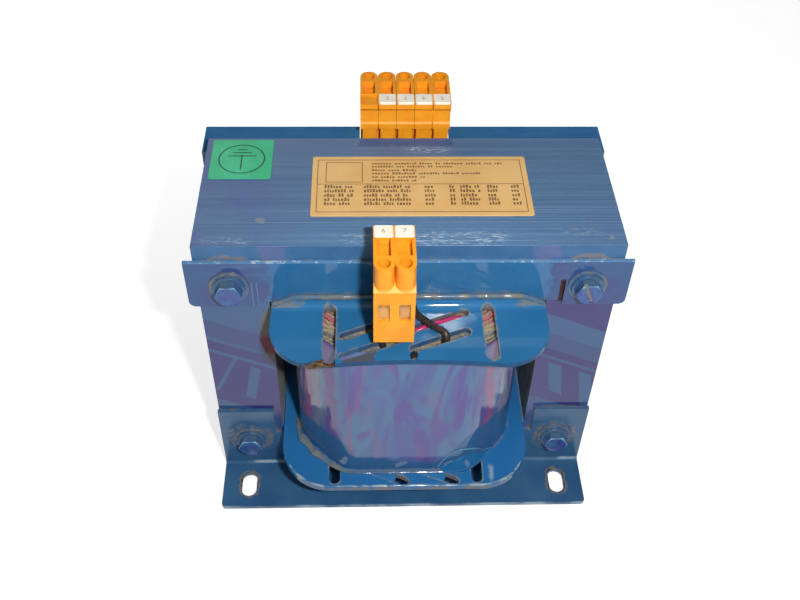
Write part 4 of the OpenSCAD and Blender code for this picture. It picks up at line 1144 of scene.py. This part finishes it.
def make_tags(row, numbers, turn):
    low, high = box_mm(f"{row}_marker_tags")
    top = high.z - TAG_SHY
    tags = Shell()
    for number, x in numbers.items():
        loops = []
        for inwards, z in ((0, low.z), (0, top - TAG_EDGE), (TAG_EDGE, top)):
            start = (x - TAG_W / 2 + inwards, low.y + inwards)
            end = (x + TAG_W / 2 - inwards, high.y - inwards)
            loops.append(rounded_loop(start, end, TAG_CORNER - inwards, z))
        tags.skin(loops)
        digit = having(bpy.data.curves.new(f"number_{number}", "FONT"), body=str(number))
        having(digit, size=DIGIT_SIZE * MM, extrude=DIGIT_T * MM, align_x="CENTER", align_y="CENTER")
        digit.materials.append(INK)
        place = Vector((x, (low.y + high.y) / 2, top + DIGIT_T)) * MM
        join_part(show(f"number_{number}", digit, location=place, rotation_euler=(0, 0, turn)))
    tags.piece(f"{row}_tags", TAG_WHITE, "tag_plastic", node=f"{row}_marker_tags")


# Print on the rating plate and the earth label, as thin slabs of ink
INK_T = 0.03
PLATE_BORDER = 2.2
PLATE_LINE = 0.35
PLATE_DIVIDER = 20.1
PLATE_BOX = ((5.8, 21.4), (21.5, 35))
PLATE_HEADING_ROWS = ((34.2, 82), (32.1, 62), (29.6, 45), (27.4, 72), (25.0, 48), (22.6, 46))
PLATE_HEADING_X = 25.5
PLATE_HEADING_H = 1.3
PLATE_TABLE_ROWS = (18.6, 15.9, 13.0, 10.3, 7.7)
PLATE_TABLE_COLUMNS = ((5.5, 18), (22, 42), (47.5, 52), (58, 60.5), (62.5, 71), (74, 79), (84, 88))
PLATE_TABLE_H = 2.1
LETTER_W = (0.6, 1.0)
LETTER_H = (0.7, 0.75, 1)
LETTER_GAP = 0.4
WORD_LETTERS = (2, 8)
WORD_GAP = 1.1
EARTH_R = 9.8
EARTH_STROKE = 0.55
EARTH_STEM = (-7.3, 2.7)
EARTH_BARS = ((2.1, 6.2), (4.4, 4.2), (6.5, 2.0))
EARTH_POINTS = 64


def greeked(start, end, middle, height):
    """A row of small blocks in groups, which stand for print that can't be read"""
    blocks = []
    place, foot = start, middle - height / 2
    while place < end:
        for _ in range(random.randint(*WORD_LETTERS)):
            width = random.uniform(*LETTER_W)
            if place + width > end:
                break
            blocks.append(((place, foot), (place + width, foot + height * random.choice(LETTER_H))))
            place += width + LETTER_GAP
        place += WORD_GAP
    return blocks


def print_slabs(name, corner, top, rectangles, material, slot, frames=()):
    """Makes rectangles and frames of ink, at places that count from a corner"""
    ink = Shell()
    for (x0, y0), (x1, y1) in frames:
        loops = []
        for inwards, z in profile(PLATE_LINE, 0, -INK_T, INK_T):
            low = (corner[0] + x0 + inwards, corner[1] + y0 + inwards)
            high = (corner[0] + x1 - inwards, corner[1] + y1 - inwards)
            loops.append([(*place, top + z) for place in rectangle(low, high)])
        ink.skin(loops, True)
    for (x0, y0), (x1, y1) in rectangles:
        ink.box((corner[0] + x0, corner[1] + y0, top - INK_T), (corner[0] + x1, corner[1] + y1, top + INK_T))
    ink.piece(name, material, slot)


def make_plate_print():
    low, high = box_mm("rating_plate")
    width, height = high.x - low.x, high.y - low.y
    border = ((PLATE_BORDER, PLATE_BORDER), (width - PLATE_BORDER, height - PLATE_BORDER))
    inner = PLATE_BORDER + PLATE_LINE
    rectangles = [((inner, PLATE_DIVIDER), (width - inner, PLATE_DIVIDER + PLATE_LINE))]
    for middle, end in PLATE_HEADING_ROWS:
        rectangles += greeked(PLATE_HEADING_X, end, middle, PLATE_HEADING_H)
    for middle in PLATE_TABLE_ROWS:
        for start, end in PLATE_TABLE_COLUMNS:
            rectangles += greeked(start, end, middle, PLATE_TABLE_H)
    print_slabs("plate_print", low, high.z, rectangles, PRINT_BROWN, "tan_label", (border, PLATE_BOX))


def make_earth_mark():
    """Protective earth symbol in a ring"""
    low, high = box_mm("earth_label")
    middle = (low + high) / 2
    half = EARTH_STROKE / 2
    rectangles = [((-half, EARTH_STEM[0]), (half, EARTH_STEM[1]))]
    for lift, reach_x in EARTH_BARS:
        rectangles.append(((-reach_x, lift - half), (reach_x, lift + half)))
    print_slabs("earth_symbol", middle, high.z, rectangles, PRINT_GREEN, "green_label")
    loops = []
    for radius, z in profile(EARTH_R - half, EARTH_R + half, -INK_T, INK_T):
        round_places = circle(0, 0, radius, EARTH_POINTS)
        loops.append([(middle.x + x, middle.y + y, high.z + z) for x, y in round_places])
    skin_piece("earth_ring", loops, PRINT_GREEN, "green_label", False, ring=True)


# CAD solids that show themselves: finish, width of their rounded edges, its segments, and nodes
DRESSES = (
    (FORMER_BLUE, 0.5, 3, ("coil_former",)),
    (CLAMP_BLUE, 0.4, 3, ("front_upper_clamp", "rear_upper_clamp")),
    (FOOT_BLUE, 0.4, 2, ("front_foot_bracket", "rear_foot_bracket")),
    (BOLT, 0.4, 2, ("core_bolts", "core_nuts")),
    (WASHER, 0.15, 2, ("plain_washers", "spring_washers")),
    (FIBRE, 0.12, 2, ("fibre_washers",)),
    (FIBRE, 0, 0, ("bolt_sleeves",)),
    (ORANGE, 0.22, 2, ("front_terminal_block", "rear_left_terminal_block")),
    (ORANGE, 0.22, 2, ("rear_middle_terminal_block", "rear_right_terminal_block")),
    (TIN, 0.1, 2, ("front_terminal_cages", "rear_terminal_cages")),
    (TIN, 0.1, 2, ("front_terminal_screws", "rear_terminal_screws")),
    (PLATE_TAN, 0.1, 2, ("rating_plate",)),
    (LABEL_GREEN, 0.08, 2, ("earth_label",)),
    (TAN_PAPER, 0, 0, ("interwinding_insulation",)),
    (SLEEVING, 0, 0, ("rear_leads",)),
)
WELD_REACH = 0.001
FLAT_ANGLE = 0.5
SHARP_ANGLE = 32


def dress(solid, material, edge, segments):
    """Gives a CAD solid its finish, and rounds its sharp edges by a few tenths of a millimetre"""
    solid.data.materials.clear()
    solid.data.materials.append(material)
    if not edge:
        return
    flat, sharp = radians(FLAT_ANGLE), radians(SHARP_ANGLE)
    having(solid.modifiers.new("weld", "WELD"), merge_threshold=WELD_REACH * MM)
    having(solid.modifiers.new("flat", "DECIMATE"), decimate_type="DISSOLVE", angle_limit=flat)
    round_off = having(solid.modifiers.new("round_off", "BEVEL"), width=edge * MM, segments=segments)
    having(round_off, limit_method="ANGLE", angle_limit=sharp, use_clamp_overlap=True)
    having(solid.modifiers.new("normals", "WEIGHTED_NORMAL"), keep_sharp=False)


# Studio

def make_camera():
    yaw, pitch, roll = (radians(angle) for angle in (CAMERA_YAW, CAMERA_PITCH, CAMERA_ROLL))
    ahead = Vector((sin(yaw) * cos(pitch), cos(yaw) * cos(pitch), -sin(pitch)))
    right = Vector((cos(yaw), -sin(yaw), 0))
    down = ahead.cross(right)
    across = cos(roll) * right + sin(roll) * down
    upward = sin(roll) * right - cos(roll) * down
    turn = Matrix((across, upward, -ahead)).transposed().to_4x4()
    data = having(bpy.data.cameras.new("camera"), sensor_width=SENSOR_W, clip_start=CAMERA_NEAR * MM)
    data.lens = SENSOR_W * FOCAL_PX / FRAME_W
    place = Matrix.Translation(Vector(CAMERA_AT) * MM) @ turn
    bpy.context.scene.camera = show("camera", data, matrix_world=place)


def make_lamp(name, place, size, power):
    data = having(bpy.data.lights.new(name, "AREA"), shape="RECTANGLE", energy=power)
    having(data, size=size[0] * MM, size_y=size[1] * MM)
    turn = (Vector(LAMP_TARGET) - Vector(place)).to_track_quat("-Z", "Y").to_euler()
    show(name, data, location=Vector(place) * MM, rotation_euler=turn)


def make_floor():
    """White floor: a faint glow for the camera and for reflections keeps it white, and the shadow stays"""
    half = FLOOR_SIZE / 2
    mesh = bpy.data.meshes.new("floor")
    corners = [(*corner, 0) for corner in rectangle((-half, -half), (half, half))]
    mesh.from_pydata([Vector(corner) * MM for corner in corners], [], [(0, 1, 2, 3)])
    floor = show("floor", mesh)
    f = Finish("white_floor")
    f.set(Base_Color=f.mottled(0.02, 0.3, 0.7, (200, 200, 200), (206, 206, 206), 2), Roughness=1.0)
    f.set(Specular_IOR_Level=0.0, Emission_Color=(1, 1, 1, 1))
    rays = f.tree.nodes.new("ShaderNodeLightPath").outputs
    seen = f.maths("MAXIMUM", rays["Is Camera Ray"], rays["Is Glossy Ray"])
    seen = f.maths("MAXIMUM", seen, rays["Is Transmission Ray"])
    f.set(Emission_Strength=f.times(seen, f.ramp(f.y, -FLOOR_FADE, FLOOR_FADE, *FLOOR_GLOW)))
    mesh.materials.append(f.material)


def make_world():
    """Soft light that is brighter from the front than from the rear"""
    world = bpy.data.worlds.new("studio")
    world.use_nodes = True
    tree = world.node_tree
    sky = tree.nodes["Background"]
    sky.inputs["Color"].default_value = (1, 1, 1, 1)
    parts = tree.nodes.new("ShaderNodeSeparateXYZ")
    tree.links.new(tree.nodes.new("ShaderNodeTexCoord").outputs["Generated"], parts.inputs[0])
    fade = tree.nodes.new("ShaderNodeMapRange")
    for key, value in zip(("From Min", "From Max", "To Min", "To Max"), (-1, 1, *WORLD_GLOW)):
        fade.inputs[key].default_value = value
    tree.links.new(parts.outputs[1], fade.inputs["Value"])
    tree.links.new(fade.outputs["Result"], sky.inputs["Strength"])
    bpy.context.scene.world = world


bpy.context.scene.view_settings.view_transform = "Standard"
make_world()
make_camera()
for lamp_name, lamp in LAMPS.items():
    make_lamp(lamp_name, *lamp)
make_floor()
sheet_stack("e_sheets", "e_laminations", e_outline(), BOLT_EDGE)
sheet_stack("i_sheets", "i_laminations", i_outline(), CORE_H - BOLT_EDGE)
layered("primary", "primary_winding", TUBE_LAYER, PRIMARY_LAYER, PRIMARY_RINGS, [ROSE_TAPE, TAN_PAPER])
papers = [TAN_PAPER, GREY_PAPER]
layered("secondary", "secondary_winding", PAPER_LAYER, SECONDARY_LAYER, SECONDARY_RINGS, papers)
make_wrap()
make_foot_varnish()
make_rib_beads()
make_rim_bead()
make_slit_film()
make_lump()
make_leads()
make_tags("front", FRONT_TAGS, 0)
make_tags("rear", REAR_TAGS, pi)
make_plate_print()
make_earth_mark()
for finish, edge_width, edge_segments, nodes in DRESSES:
    for node_name in nodes:
        dress(NODES[node_name], finish, edge_width, edge_segments)
